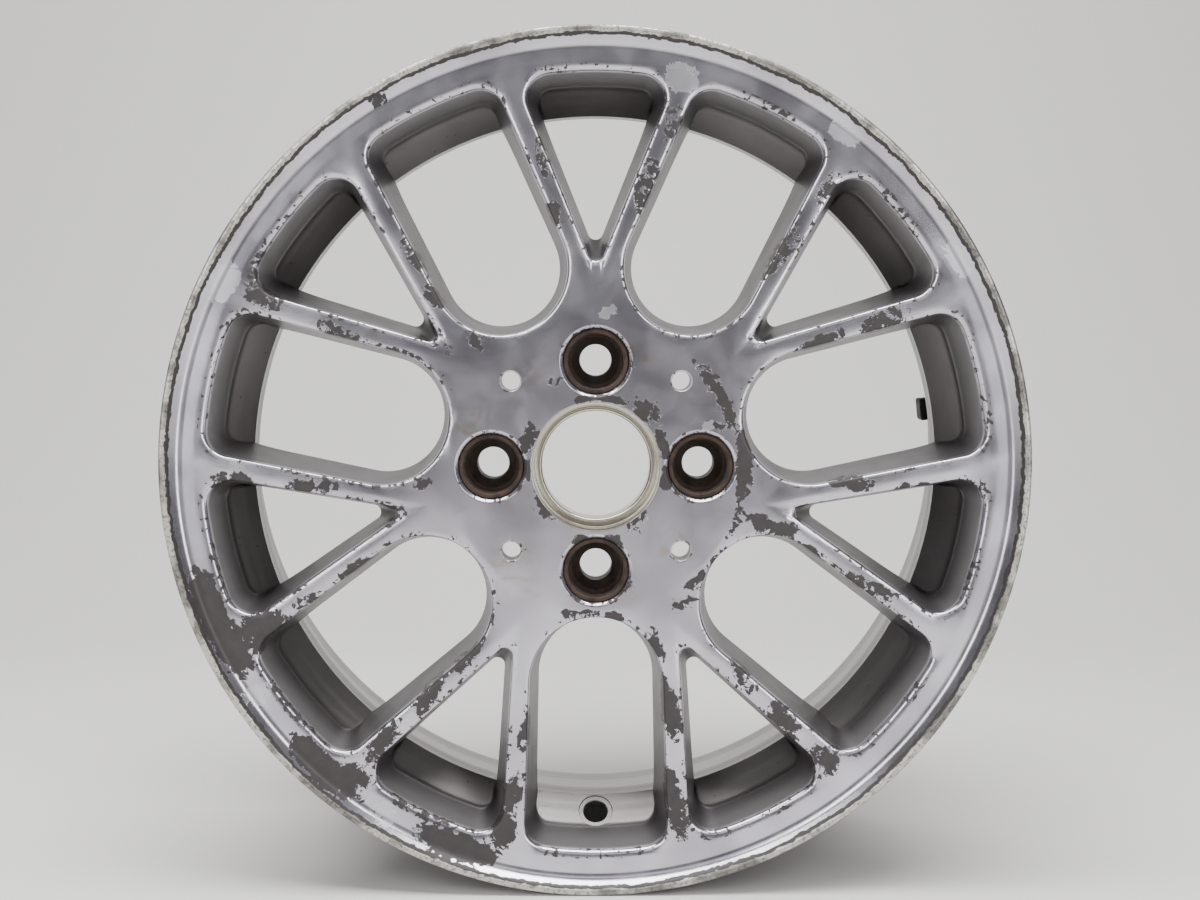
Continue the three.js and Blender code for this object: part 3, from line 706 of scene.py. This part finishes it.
    smear = node("TexNoise", {}, place, each(16), 3.0, 0.5, Distortion=0.5)
    smear = node("MapRange", smoothly, smear, 0.3, 0.75, -0.02, 0.05)
    rough = node("Math", plus, smear, node("Mix", numbers, side, look["roughness"], look["sideRoughness"]))
    pitted = node("Mix", numbers, pits, look["bareRoughness"], look["pitRoughness"])
    for mask, layer in ((lift, look["filmRoughness"]), (gone, look["primerRoughness"]), (edgeBare, pitted),
                        (bore, look["boreRoughness"])):
        rough = node("Mix", numbers, mask, rough, layer)
    pitted = node("Mix", numbers, pits, look["metallic"], look["pitMetallic"])
    metal = look["metallic"]
    for mask, layer in ((side, look["sideMetallic"]), (gone, look["primerMetallic"]), (bore, 1.0),
                        (edgeBare, pitted)):
        metal = node("Mix", numbers, mask, metal, layer)

    worn = node("Math", larger, node("MapRange", smoothly, torn, 0.45, 0.53), nick)
    peel = node("TexNoise", {}, place, each(look["orangePeel"]), 2.0, 0.55)
    marks = node("TexNoise", {}, node("CombineXYZ", {}, radius, along), each(look["turning"]), 2.0, 0.6)
    height = 0.0
    for layer, share in (
            (worn, -look["filmStep"]), (peel, look["peelHeight"]), (lift, look["liftHeight"]),
            (node("Math", times, pits, edgeBare), -look["pitDepth"]),
            (node("Math", times, marks, bore), look["turnHeight"])):
        height = node("Math", timesPlus, layer, share, height)
    addSurface(tree, height, Base_Color=colour, Roughness=rough, Metallic=metal,
               Coat_Weight=look["coat"], Coat_Roughness=look["coatRoughness"])
    return material


barrelLook = {
    # paint: darker than the face's silver, partly thin paint and partly painted shade of the barrel's inside
    "paint": "#757271", "grime": "#524e4c", "speck": "#3c3836", "roughness": 0.31, "speckRoughness": 0.65,
    "metallic": 0.9, "streak": 5.0, "band": 16.0, "cloud": 40.0, "speckSize": 2.6, "stretch": 0.002,
}


# The same silver sprayed thinly inside the barrel over turning marks, darker: partly thin paint and
# partly painted shade of the barrel's inside, streaked round the axis where the tool has passed. The real
# marks are finer than 0.5 mm and are drawn coarser.
def makeBarrelPaintAndShade():
    material, tree = newMaterial("thinSilverPaintAndShadeOverTurnedAluminium")
    node = partial(addNode, tree)
    look = barrelLook
    place = wheelCoordinates(tree)[0]
    rings = node("VectorMath", times, place, (look["stretch"], 1, look["stretch"]))
    streaks = node("TexNoise", {}, rings, each(look["streak"]), 2.0, 0.5)
    bands = node("Math", times, node("TexNoise", {}, rings, each(look["band"]), 2.0, 0.5), 0.5)
    bands = node("Math", timesPlus, node("TexNoise", {}, place, each(look["cloud"]), 3.0, 0.5), 0.5, bands)
    speck = node("TexNoise", {}, place, each(look["speckSize"]), 3.0, 0.55)
    speck = node("MapRange", smoothly, speck, 0.69, 0.73)
    grime = node("MapRange", smoothly, bands, 0.4, 0.66, 0.0, 0.5)
    colour = node("Mix", colours, grime, linear(look["paint"]), linear(look["grime"]))
    colour = node("Mix", colours, node("Math", times, speck, 0.8), colour, linear(look["speck"]))
    rough = node("Math", plus, node("MapRange", smoothly, streaks, 0.3, 0.7, -0.04, 0.06), look["roughness"])
    rough = node("Mix", numbers, speck, rough, look["speckRoughness"])
    height = node("Math", timesPlus, speck, -0.1, node("Math", times, streaks, 0.015))
    addSurface(tree, height, Base_Color=colour, Roughness=rough, Metallic=look["metallic"])
    return material


# A metal with marks of the lathe round the wheel's axis, at a pitch in mm, and a second colour
# in clouds.
def turnedMetal(name, colour, second, roughness, metallic, pitch, depth, patch=6.0):
    material, tree = newMaterial(name)
    node = partial(addNode, tree)
    place, along, radius = wheelCoordinates(tree)
    marks = node("TexNoise", {}, node("CombineXYZ", {}, radius, along), each(pitch), 3.0, 0.6)
    cloud = node("TexNoise", {}, place, each(patch), 5.0, 0.62, Distortion=0.4)
    cloud = node("MapRange", smoothly, cloud, 0.38, 0.66)
    mixed = node("Mix", colours, cloud, linear(colour), linear(second))
    rough = node("Math", timesPlus, cloud, 0.15, roughness)
    height = node("Math", timesPlus, marks, depth, node("Math", times, cloud, -0.03))
    addSurface(tree, height, Base_Color=mixed, Roughness=rough, Metallic=metallic)
    return material


# Closed-cell acrylic foam tape: dull, slightly pitted at its cut edges.
def makeFoam():
    material, tree = newMaterial("acrylicFoamTape")
    pores = addNode(tree, "TexNoise", {}, wheelCoordinates(tree)[0], each(0.5), 2.0, 0.5)
    colour = addNode(tree, "Mix", colours, pores, linear("#1b1b1c"), linear("#2a2a2b"))
    height = addNode(tree, "Math", times, pores, 0.08)
    addSurface(tree, height, Base_Color=colour, Roughness=0.9)
    return material


finishes = {
    "silver_finish": makeSilver(),
    "barrel_finish": makeBarrelPaintAndShade(),
    # steel blackened by heat and brake dust: nearly matt, with brown patches
    "lug_steel": turnedMetal("blackedTurnedSteel", "#2a201b", "#46362c", 0.5, 0.55, 0.5, 0.05),
    # bare turned aluminium, a little yellow with age
    "ring_alloy": turnedMetal("turnedAluminiumRing", "#b9b6a8", "#8f8b7d", 0.32, 1.0, 0.45, 0.05),
    # hard-drawn spring wire: smooth and grey
    "spring_steel": turnedMetal("drawnSpringSteel", "#8f9194", "#6e6c6a", 0.28, 1.0, 0.4, 0.01),
    # cast zinc weight, dulled by brake dust
    "weight_metal": turnedMetal("castZincDulled", "#35322f", "#1f1d1c", 0.55, 0.6, 0.8, 0.05),
    "foam_tape": makeFoam(),
}
print("stage: finishes")


# Turns a piece's patches into a mesh object that stands for the CAD node of its name.
def makeObject(name, piece, slotName, body="root", sharp=38):
    world = np.concatenate(piece["points"]) * mm
    world[:, 1] -= rim["width"] / 2 * mm
    mesh = bpy.data.meshes.new(name)
    mesh.from_pydata(world.tolist(), [], piece["faces"])
    layer = mesh.attributes.new("edge", "FLOAT", "POINT")
    layer.data.foreach_set("value", np.concatenate(piece["edge"]).astype(np.float32))
    work = bmesh.new()
    work.from_mesh(mesh)
    bmesh.ops.remove_doubles(work, verts=work.verts, dist=2e-6)
    bmesh.ops.dissolve_degenerate(work, edges=work.edges, dist=1e-7)
    bmesh.ops.recalc_face_normals(work, faces=work.faces)
    openEdges = sum(1 for e in work.edges if len(e.link_faces) != 2)
    if openEdges:
        print("  open edges in", name, openEdges)
    work.to_mesh(mesh)
    work.free()
    mesh.shade_smooth()
    mesh.set_sharp_from_angle(angle=math.radians(sharp))
    mesh.materials.append(finishes[slotName])
    if slotName == "silver_finish":
        addWear(mesh)
    obj = bpy.data.objects.new(name, mesh)
    bpy.context.scene.collection.objects.link(obj)
    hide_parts(name)
    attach(obj, body)
    return obj


hub = {
    "back": 42.0, "faceEdge": 68.0, "boreMouth": 30.8, "bore": 30.0, "boreFloor": 15.2, "lip": 26.0,
    "rearBore": 34.5, "rearBoreDepth": 31.2, "lugs": 4, "lugCircle": 50.0, "lugHole": 15.7,
    "lugChamfer": 1.5, "lugShoulder": 30.0, "lugTail": 11.5, "pinHole": 4.65, "pinCircle": 57.5,
    "pinRound": 0.5, "pinPocket": 9.0, "pinPocketDepth": 22.0, "aroundHub": 112, "lugHalf": 10,
    "pinHalf": 4, "sideSteps": 9, "frontGap": 0.6, "rearGap": 1.2, "rim": 0.4,
    # (depth, radius, rounding) of the fine steps that the tool has left in the bore, from its floor
    "turnedSteps": [(0, 29.1, 0.12), (0.9, 28.9, 0.15), (0.9, 28.3, 0.15), (0.2, 28.1, 0.12),
                    (0.2, 26.7, 0.2), (0.9, 26.0, 0.3)],
}


# A circular hole's cell in the hub: columns go round from the low side, rows run from the cell's
# border in to the hole. Both borders are arcs about the axis, joined by radial sides.
def holeCell(angle, halfSteps, inner, outer, centre):
    half = halfSteps * tau / hub["aroundHub"]
    arc = np.linspace(-half, half, 2 * halfSteps + 1)
    side = np.linspace(0, 1, hub["sideSteps"] + 1)[1:-1]
    polar = [(outer, a) for a in arc] + [(outer + (inner - outer) * t, half) for t in side]
    polar += [(inner, a) for a in arc[::-1]] + [(inner + (outer - inner) * t, -half) for t in side]
    radius, turn = np.array(polar).T
    border = radius[:, None] * ray(turn) - [centre, 0]
    seen = np.unwrap(np.arctan2(border[:, 1], border[:, 0]))
    even = np.linspace(seen[0], seen[0] + tau, len(seen) + 1)[:-1]
    blend = 0.5 * (seen + even)
    return {"border": np.concatenate([border, border[:1]]), "turn": np.append(blend, blend[0] + tau),
            "centre": centre, "angle": angle}


# Rows from the border to the hole's edge and on along (radius, depth, edge) steps.
def addHole(piece, cell, borderDepth, steps):
    border, circle = cell["border"], ray(cell["turn"])
    firstRadius, firstDepth = steps[0][:2]
    ring = circle * (firstRadius + 0.3)
    rows = [(border + (ring - border) * t, borderDepth, 0.85 * t) for t in (0, 0.3, 0.6, 0.85)]
    rows += [(ring, firstDepth, 0.95)]
    rows += [(circle * radius, depth, value) for radius, depth, value in steps]
    grid = np.stack([np.insert(uv, 2, depth, axis=1) for uv, depth, value in rows])
    grid[..., 0] += cell["centre"]
    addGrid(piece, placed(grid, cell["angle"], 1), np.array([row[2] for row in rows])[:, None])


# A small rounding between a face and a wall as (radius, depth, edge) points: from the face inwards.
def holeRound(radius, depth, size, steps=3):
    turns = np.linspace(0, math.pi / 2, steps + 1)
    return [(radius + size - size * math.sin(t), depth + size - size * math.cos(t), 1) for t in turns]


def makeHub():
    piece = newPiece()
    for cell, angle, sign in halfCells():
        addCell(piece, cell, angle, sign, slice(None), slice(cell["lead"] + stationIn + 1))
    addSectionCaps(piece, stationIn)
    s = hub
    face, back = rim["faceDepth"], s["back"]
    hole, shoulder, tail = s["lugHole"], s["lugShoulder"], s["lugTail"]
    mouth = hole + s["lugChamfer"]
    lugFront = [(mouth + 0.2, face, 1), (mouth - 0.1, face + 0.1, 1), (hole + 0.15, face + 1.35, 1),
                (hole, face + 1.6, 1), (hole, face + 2, 0.6), (hole, 12, 0), (hole, 21, 0),
                (hole, shoulder - 0.5, 0), (hole, shoulder, 0), (hole - 0.5, shoulder, 0),
                (tail + 0.4, shoulder, 0), (tail, shoulder + 0.3, 0), (tail, 36, 0), (tail, back - 0.7, 0)]
    lugRear = [(tail + 0.6, back, 0), (tail + 0.5, back - 0.05, 0), (tail + 0.1, back - 0.5, 0),
               (tail, back - 0.7, 0)]
    pin, pocket, floor = s["pinHole"], s["pinPocket"], s["pinPocketDepth"]
    pinFront = holeRound(pin, face, s["pinRound"])
    pinFront += [(pin, face + 0.8, 0.5), (pin, 12, 0), (pin, floor - 0.3, 0), (pin + 0.3, floor, 0),
                 (pin + 0.8, floor, 0), (pocket - 1.2, floor, 0), (pocket, floor + 1, 0),
                 (pocket, floor + 1.5, 0), (pocket, 34, 0), (pocket, back - 0.5, 0)]
    pinRear = [(pocket + 0.5, back, 0), (pocket + 0.35, back - 0.05, 0), (pocket, back - 0.5, 0)]
    for i in range(s["lugs"]):
        for offset, half, circle, frontSteps, rearSteps in (
                (0, s["lugHalf"], s["lugCircle"], lugFront, lugRear),
                (0.5, s["pinHalf"], s["pinCircle"], pinFront, pinRear)):
            angle = (i + offset) * tau / s["lugs"]
            front = holeCell(angle, half, s["boreMouth"] + s["frontGap"], webShape["hubCircle"], circle)
            rear = holeCell(angle, half, s["rearBore"] + s["rearGap"], s["faceEdge"] - s["rim"], circle)
            rear["turn"] = front["turn"]
            addHole(piece, front, face, frontSteps)
            addHole(piece, rear, back, rearSteps)
    around = evenAngles(s["aroundHub"])
    mouth, bore, lip, rearBore = s["boreMouth"], s["bore"], s["lip"], s["rearBore"]
    floor, rearFloor = s["boreFloor"], s["rearBoreDepth"]
    profile = [(face, mouth + s["frontGap"]), (face, mouth, 0.4), (face + 0.8, mouth),
               (face + 0.8, bore, 0.25), (8.5, bore), (8.7, bore - 0.12), (8.9, bore), (floor, bore, 0.4)]
    profile += [(floor + depth, radius, size) for depth, radius, size in s["turnedSteps"]]
    profile += [(22, lip), (rearFloor, lip, 0.6), (rearFloor, rearBore, 0.5), (back - 1, rearBore, 0.3),
                (back, rearBore + 1, 0.3), (back, rearBore + s["rearGap"])]
    profile = held(rounded(profile, 2), 0.25)
    addGrid(piece, turnedGrid(profile, around), np.array([float(d < 6.2) for d, r in profile])[:, None])
    backCircle = webShape["hubBackCircle"]
    flank = [(back, s["faceEdge"] - s["rim"]), (back, s["faceEdge"], 0.3),
             (rim["webBack"], backCircle - 0.3, 1.2), (rim["webBack"], backCircle)]
    addGrid(piece, turnedGrid(held(rounded(flank, 3), 0.3), around))
    makeObject("hub_centre", piece, "silver_finish")


# Quads across each spoke's section at a station, between the narrow and the wide window's columns.
def addSectionCaps(piece, station, spokes=None):
    narrow, wide = cells[False], cells[True]
    for i, centre in enumerate(pairAngles):
        for sign in (1, -1):
            if spokes and (i, sign) not in spokes:
                continue
            a = placed(narrow["grid"][:, narrow["lead"] + station], centre, sign)
            b = placed(wide["grid"][:, wide["lead"] + station], centre + sign * pairPitch / 2, -sign)
            middle = (a + b) / 2
            core = middle.mean(0)
            addGrid(piece, np.stack([a, core + (middle - core) * 0.8, b], 1))


def makeSpokes():
    names = sorted(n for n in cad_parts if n.startswith("spoke_"))
    centres = {n: (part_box(n)[0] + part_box(n)[1]) / 2 for n in names}
    for i, centre in enumerate(pairAngles):
        for sign in (1, -1):
            piece = newPiece()
            for wide, angle, side in ((False, centre, sign), (True, centre + sign * pairPitch / 2, -sign)):
                lead = cells[wide]["lead"]
                columns = slice(lead + stationIn, lead + stationOut + 1)
                addCell(piece, cells[wide], angle, side, slice(None), columns)
            addSectionCaps(piece, stationIn, {(i, sign)})
            addSectionCaps(piece, stationOut, {(i, sign)})
            middle = np.concatenate(piece["points"]).mean(0) * mm
            name = min(names, key=lambda n: math.hypot(centres[n].x - middle[0], centres[n].z - middle[2]))
            makeObject(name, piece, "silver_finish")


def anglesOf(points):
    return np.arctan2(points[:, 2], points[:, 0])


# Points sorted by angle, each kept once.
def inOrder(points):
    points = points[np.argsort(anglesOf(points), kind="stable")]
    gaps = np.linalg.norm(points - np.roll(points, 1, axis=0), axis=1)
    return points[gaps > 0.002]


# The border of the landings and the windows' outer ends on the ramp, in order of angle, and the
# points at which columns reach the lip and the well.
def rimBorders():
    groups = [], [], []
    for cell, angle, sign in halfCells():
        grid, seam, crossing = cell["grid"], cell["seam"], cell["crossing"]
        end = cell["lead"] + lastLine
        inner = grid[-1, end:crossing][::-1]
        ramp = np.concatenate([grid[seam, :crossing:-1], grid[seam:, crossing], inner])
        for group, points in zip(groups, (ramp, grid[0, cell["line"] - 1:], grid[-1, end:])):
            group.append(placed(points, angle, sign))
    return [inOrder(np.concatenate(group)) for group in groups]


border, lipPoints, wellPoints = rimBorders()
lipAngles, wellAngles = anglesOf(lipPoints), anglesOf(wellPoints)

# The rim's shape beyond the web, as (depth, radius, rounding) points along each section.
rimShape = {
    "flangeSplitDepth": 10.8, "around": 504,
    "outerSeat": [(11.0, 191.4, 0.8), (13.8, 189.85, 1.6), (30.1, 188.4, 1.0), (31.7, 189.2, 1.0),
                  (33.6, 189.2, 0.6)],
    "outerLip": [(5.2, 199.2, 11), (0.95, 203.6, 1.2), (0.0, 205.0, 0.7), (0.3, 207.0, 0.9),
                 (1.9, 207.4, 0.9), (5.4, 207.3, 2.2), (9.4, 205.7, 3.0), (10.8, 202.0, 2.6)],
    "scuffFrom": 203.0, "scuffRise": 1.2,  # where the flange's edge starts to be scuffed
    # where the barrel's slope starts and ends, inside and outside
    "inside": ((60.1, 169.3), (139.6, 185.2)), "outside": ((63.7, 172.9), (139.6, 188.4)),
    "wellFrom": 50.2, "wellRound": 4, "barrelFrom": 67.85, "barrelTo": 139.45,
    "innerSeat": [(140.4, 189.2, 0.6), (142.3, 189.2, 1.0), (143.9, 188.4, 1.0), (160.2, 189.85, 1.6),
                  (163.0, 191.4, 0.8), (163.05, 193.8), (163.05, 187.75), (158.2, 186.5, 2.5)],
    "innerLip": [(163.05, 187.75), (163.05, 202.4, 2.2), (164.7, 205.9, 3), (168.6, 207.3, 2.2),
                 (172.0, 207.4, 0.8), (173.6, 206.8, 0.7), (174.0, 204.2, 0.8), (173.9, 203.4, 1.2),
                 (170.0, 198.4, 3), (168.4, 193.2, 2.5), (166.2, 189.1, 2.5), (163.05, 187.75)],
}


# The barrel's point on its inside or outside at a depth.
def barrelAt(side, depth):
    (fromDepth, fromRadius), (toDepth, toRadius) = rimShape[side]
    return depth, fromRadius + (toRadius - fromRadius) * (depth - fromDepth) / (toDepth - fromDepth)


def makeRim():
    s = rimShape
    face, split, splitDepth = rim["faceDepth"], rim["flangeSplit"], s["flangeSplitDepth"]
    rampEdge = (rim["rampDepth"], rim["rampOuter"])
    around = evenAngles(s["around"])

    piece = newPiece()
    for cell, angle, sign in halfCells():
        crossing = cell["crossing"]
        addCell(piece, cell, angle, sign, slice(None), slice(cell["lead"] + stationOut, crossing + 1))
        addCell(piece, cell, angle, sign, slice(cell["seam"] + 1), slice(crossing, None))
    addSectionCaps(piece, stationOut)
    outside = [(face, rim["lipCircle"]), (face, split), (splitDepth, split)] + s["outerSeat"] + [rampEdge]
    addGrid(piece, turnedGrid(held(rounded(outside, 3), 0.3), lipAngles))
    addZip(piece, border, ringOf(*rampEdge, lipAngles))
    makeObject("outer_bead_seat", piece, "silver_finish")

    piece = newPiece()
    profile = held(rounded([(face, split)] + s["outerLip"] + [(splitDepth, split)], 8), 0.25)
    profile.append(profile[0])
    scuffed = np.clip((np.array(profile)[:, 1] - s["scuffFrom"]) / s["scuffRise"], 0, 1)
    addGrid(piece, turnedGrid(profile, around), scuffed[:, None])
    makeObject("outer_flange", piece, "silver_finish")

    piece = newPiece()
    for cell, angle, sign in halfCells():
        addGrid(piece, placed(cell["grid"][cell["seam"]:, cell["crossing"]:], angle, sign))
    start, end, size = s["barrelFrom"], s["barrelTo"], s["wellRound"]
    startIn, startOut = barrelAt("inside", start), barrelAt("outside", start)
    endIn, endOut = barrelAt("inside", end), barrelAt("outside", end)
    loop = [(rim["wellInsideDepth"], rim["wellInside"]), (*s["inside"][0], size), startIn, startOut,
            (*s["outside"][0], size), (s["wellFrom"], s["outside"][0][1], size), rampEdge]
    addGrid(piece, turnedGrid(held(rounded(loop, 5), 0.5), wellAngles))
    addZip(piece, border, ringOf(*rampEdge, wellAngles))
    cutValveHole(makeObject("drop_centre", piece, "barrel_finish"))

    for name, loop, steps, reach in (
            ("barrel", [startIn, startOut, endOut, endIn, startIn], 4, 0.5),
            ("inner_bead_seat", [endIn, endOut] + s["innerSeat"] + [endIn], 4, 0.4),
            ("inner_flange", s["innerLip"], 5, 0.25)):
        piece = newPiece()
        addGrid(piece, turnedGrid(held(rounded(loop, steps), reach), around))
        makeObject(name, piece, "barrel_finish")


valve = {"depth": 40.3, "hole": 5.85, "spot": 8.2, "spotDepth": 0.7, "edge": 0.45, "flare": 0.4,
         "from": -12, "to": 16, "sides": 96}


# The hole is bored square to the ramp, with a shallow spot face round it.
def cutValveHole(well):
    s = valve
    radius = rim["rampInner"] - (s["depth"] - rim["rampDepth"]) * rampSlope
    slope = math.atan(rampSlope)
    outwards = Vector((0, math.sin(slope), -math.cos(slope)))
    centre = Vector((0, s["depth"] - rim["width"] / 2, -radius))
    side = Vector((1, 0, 0))
    up = outwards.cross(side)
    flared, floor, hole = s["spot"] + s["flare"], s["spotDepth"], s["hole"]
    profile = [(flared, s["from"]), (flared, -s["flare"]), (s["spot"], floor), (hole + s["edge"], floor),
               (hole, floor + s["edge"]), (hole, s["to"])]
    count = s["sides"]
    turns = [tau * i / count for i in range(count)]
    points = [(centre + outwards * along + (side * math.cos(t) + up * math.sin(t)) * r) * mm
              for r, along in profile for t in turns]
    last = (len(profile) - 1) * count
    faces = [(k + i, k + (i + 1) % count, k + count + (i + 1) % count, k + count + i)
             for k in range(0, last, count) for i in range(count)]
    faces += [tuple(range(count))[::-1], tuple(range(last, last + count))]
    mesh = bpy.data.meshes.new("valveCutter")
    mesh.from_pydata([tuple(p) for p in points], [], faces)
    work = bmesh.new()
    work.from_mesh(mesh)
    bmesh.ops.recalc_face_normals(work, faces=work.faces)
    work.to_mesh(mesh)
    work.free()
    cutter = bpy.data.objects.new("valveCutter", mesh)
    bpy.context.scene.collection.objects.link(cutter)
    cut = well.modifiers.new("valve", "BOOLEAN")
    cut.operation = "DIFFERENCE"
    cut.solver = "EXACT"
    cut.object = cutter
    result = bpy.data.meshes.new_from_object(well.evaluated_get(bpy.context.evaluated_depsgraph_get()))
    well.modifiers.clear()
    old = well.data
    well.data = result
    result.name = "drop_centre"
    bpy.data.meshes.remove(old)
    bpy.data.objects.remove(cutter)
    bpy.data.meshes.remove(mesh)
    result.shade_smooth()
    result.set_sharp_from_angle(angle=math.radians(38))


lug = {
    "sleeve": 15.4, "inside": 13.2, "front": 6.8, "seam": 12, "coneDepth": 22.0, "cone": 11.6, "hole": 7.75,
    "coneEnd": 28.67, "shoulder": 29.7, "tail": 11.2, "end": 41.4,
}


def makeLugSeats():
    s = lug
    loop = [(s["seam"], s["inside"]), (s["front"], s["inside"], 0.7), (s["front"], s["sleeve"], 0.5),
            (s["shoulder"], s["sleeve"], 0.5), (s["shoulder"], s["tail"], 0.4), (s["end"], s["tail"], 0.6),
            (s["end"], s["hole"], 0.5), (s["coneEnd"], s["hole"], 0.6), (s["coneDepth"], s["cone"], 0.3),
            (s["coneDepth"], s["inside"], 0.5), (s["seam"], s["inside"])]
    for i in range(hub["lugs"]):
        turn = i * tau / hub["lugs"]
        grid = turnedGrid(held(rounded(loop), 0.2), evenAngles(96))
        grid[..., ::2] += hub["lugCircle"] * ray(turn)
        piece = newPiece()
        addGrid(piece, grid)
        makeObject(f"lug_seat_0{i + 1}", piece, "lug_steel")


ringPart = {
    "bore": 27.05, "outside": 34.2, "front": 31.8, "back": 41.2, "seam": 36, "groove": 34.2,
    "grooveHalf": 1.05, "grooveFloor": 32.3, "wire": 0.75, "wireCircle": 33.35, "opening": math.radians(40),
    # radii of a shallow groove turned in the rear face, its depth and the slope of its sides
    "faceGroove": (31.4, 29.4), "faceGrooveDepth": 0.5, "faceGrooveSlope": 0.2,
}


def makeRing():
    s = ringPart
    a, b = s["groove"] - s["grooveHalf"], s["groove"] + s["grooveHalf"]
    outer, inner = s["faceGroove"]
    back, sunk, slope = s["back"], s["back"] - s["faceGrooveDepth"], s["faceGrooveSlope"]
    loop = [(s["seam"], s["bore"]), (s["front"], s["bore"], 0.8), (s["front"], s["outside"], 0.6),
            (a, s["outside"], 0.15), (a, s["grooveFloor"], 0.25), (b, s["grooveFloor"], 0.25),
            (b, s["outside"], 0.15), (back, s["outside"], 0.6), (back, outer, 0.1),
            (sunk, outer - slope, 0.1), (sunk, inner + slope, 0.1), (back, inner, 0.1),
            (back, s["bore"], 1.0), (s["seam"], s["bore"])]
    piece = newPiece()
    addGrid(piece, turnedGrid(held(rounded(loop, 3), 0.15), evenAngles(180)))
    makeObject("centring_ring", piece, "ring_alloy", "ring")

    # the wire lies in the groove and is open at the bottom; its ends are rounded off
    wire, circle, half = s["wire"], s["wireCircle"], s["opening"] / 2
    start, end = 1.5 * math.pi + half, 3.5 * math.pi - half
    cap = wire / circle
    rise = np.linspace(0, math.pi / 2, 6)
    stops = [(start + cap * (1 - math.cos(t)), math.sin(t)) for t in rise]
    stops += [(a, 1.0) for a in np.linspace(start, end, 160)[2:-2]]
    stops += [(end - cap * (1 - math.cos(t)), math.sin(t)) for t in rise[::-1]]
    turn, size = np.array(stops).T[..., None]
    around = np.linspace(0, tau, 17)
    radius = circle + wire * size * np.cos(around)
    piece = newPiece()
    addGrid(piece, np.stack([radius * np.cos(turn), s["groove"] + wire * size * np.sin(around),
                             radius * np.sin(turn)], -1))
    makeObject("retaining_wire", piece, "spring_steel", "ring")


weightPart = {"angle": math.radians(6.3), "depth": 150.0, "wall": 185.04, "length": 12.0, "width": 14.0,
              "thick": 3.3, "edge": 1.1, "tape": 0.9, "tapeEdge": 0.12, "gap": 0.3, "corner": 1.4}


# A small block stuck inside the rim; its sections run from the wall towards the axis.
def makeWeight():
    s = weightPart
    corner = s["corner"]
    quarter = np.linspace(0, math.pi / 2, 6)
    for name, slotName, top, thick, edge in (
            ("weight_tape", "foam_tape", s["wall"], s["tape"], s["tapeEdge"]),
            ("balance_weight", "weight_metal", s["wall"] - s["tape"] - s["gap"], s["thick"], s["edge"])):
        layers = [(0, 0.4), (0.04, 0.1), (0.15, 0.0), (0.5, 0.0)]
        layers += [(1 - edge / thick * (1 - math.sin(t)), edge * (1 - math.cos(t))) for t in quarter]
        rows = []
        for share, cut in layers:
            halfLong, halfWide = s["length"] / 2 - cut, s["width"] / 2 - cut
            loop = [(i * (halfLong - corner) + corner * math.cos(t + k * math.pi / 2),
                     j * (halfWide - corner) + corner * math.sin(t + k * math.pi / 2), top - thick * share)
                    for k, (i, j) in enumerate(((1, 1), (-1, 1), (-1, -1), (1, -1))) for t in quarter]
            rows.append(np.array(loop + loop[:1]))
        rows = [rows[0] * (inside, inside, 1) for inside in (0, 0.5)] + rows
        rows += [rows[-1] * (inside, inside, 1) for inside in (0.5, 0)]
        along, across, radius = np.moveaxis(np.stack(rows), -1, 0)
        turn = s["angle"]
        piece = newPiece()
        addGrid(piece, np.stack([radius * math.cos(turn) - along * math.sin(turn), s["depth"] + across,
                                 radius * math.sin(turn) + along * math.cos(turn)], -1))
        makeObject(name, piece, slotName, sharp=50)


makeHub()
makeSpokes()
makeRim()
print("stage: forging")
makeLugSeats()
makeRing()
makeWeight()
print("stage: fitted pieces")
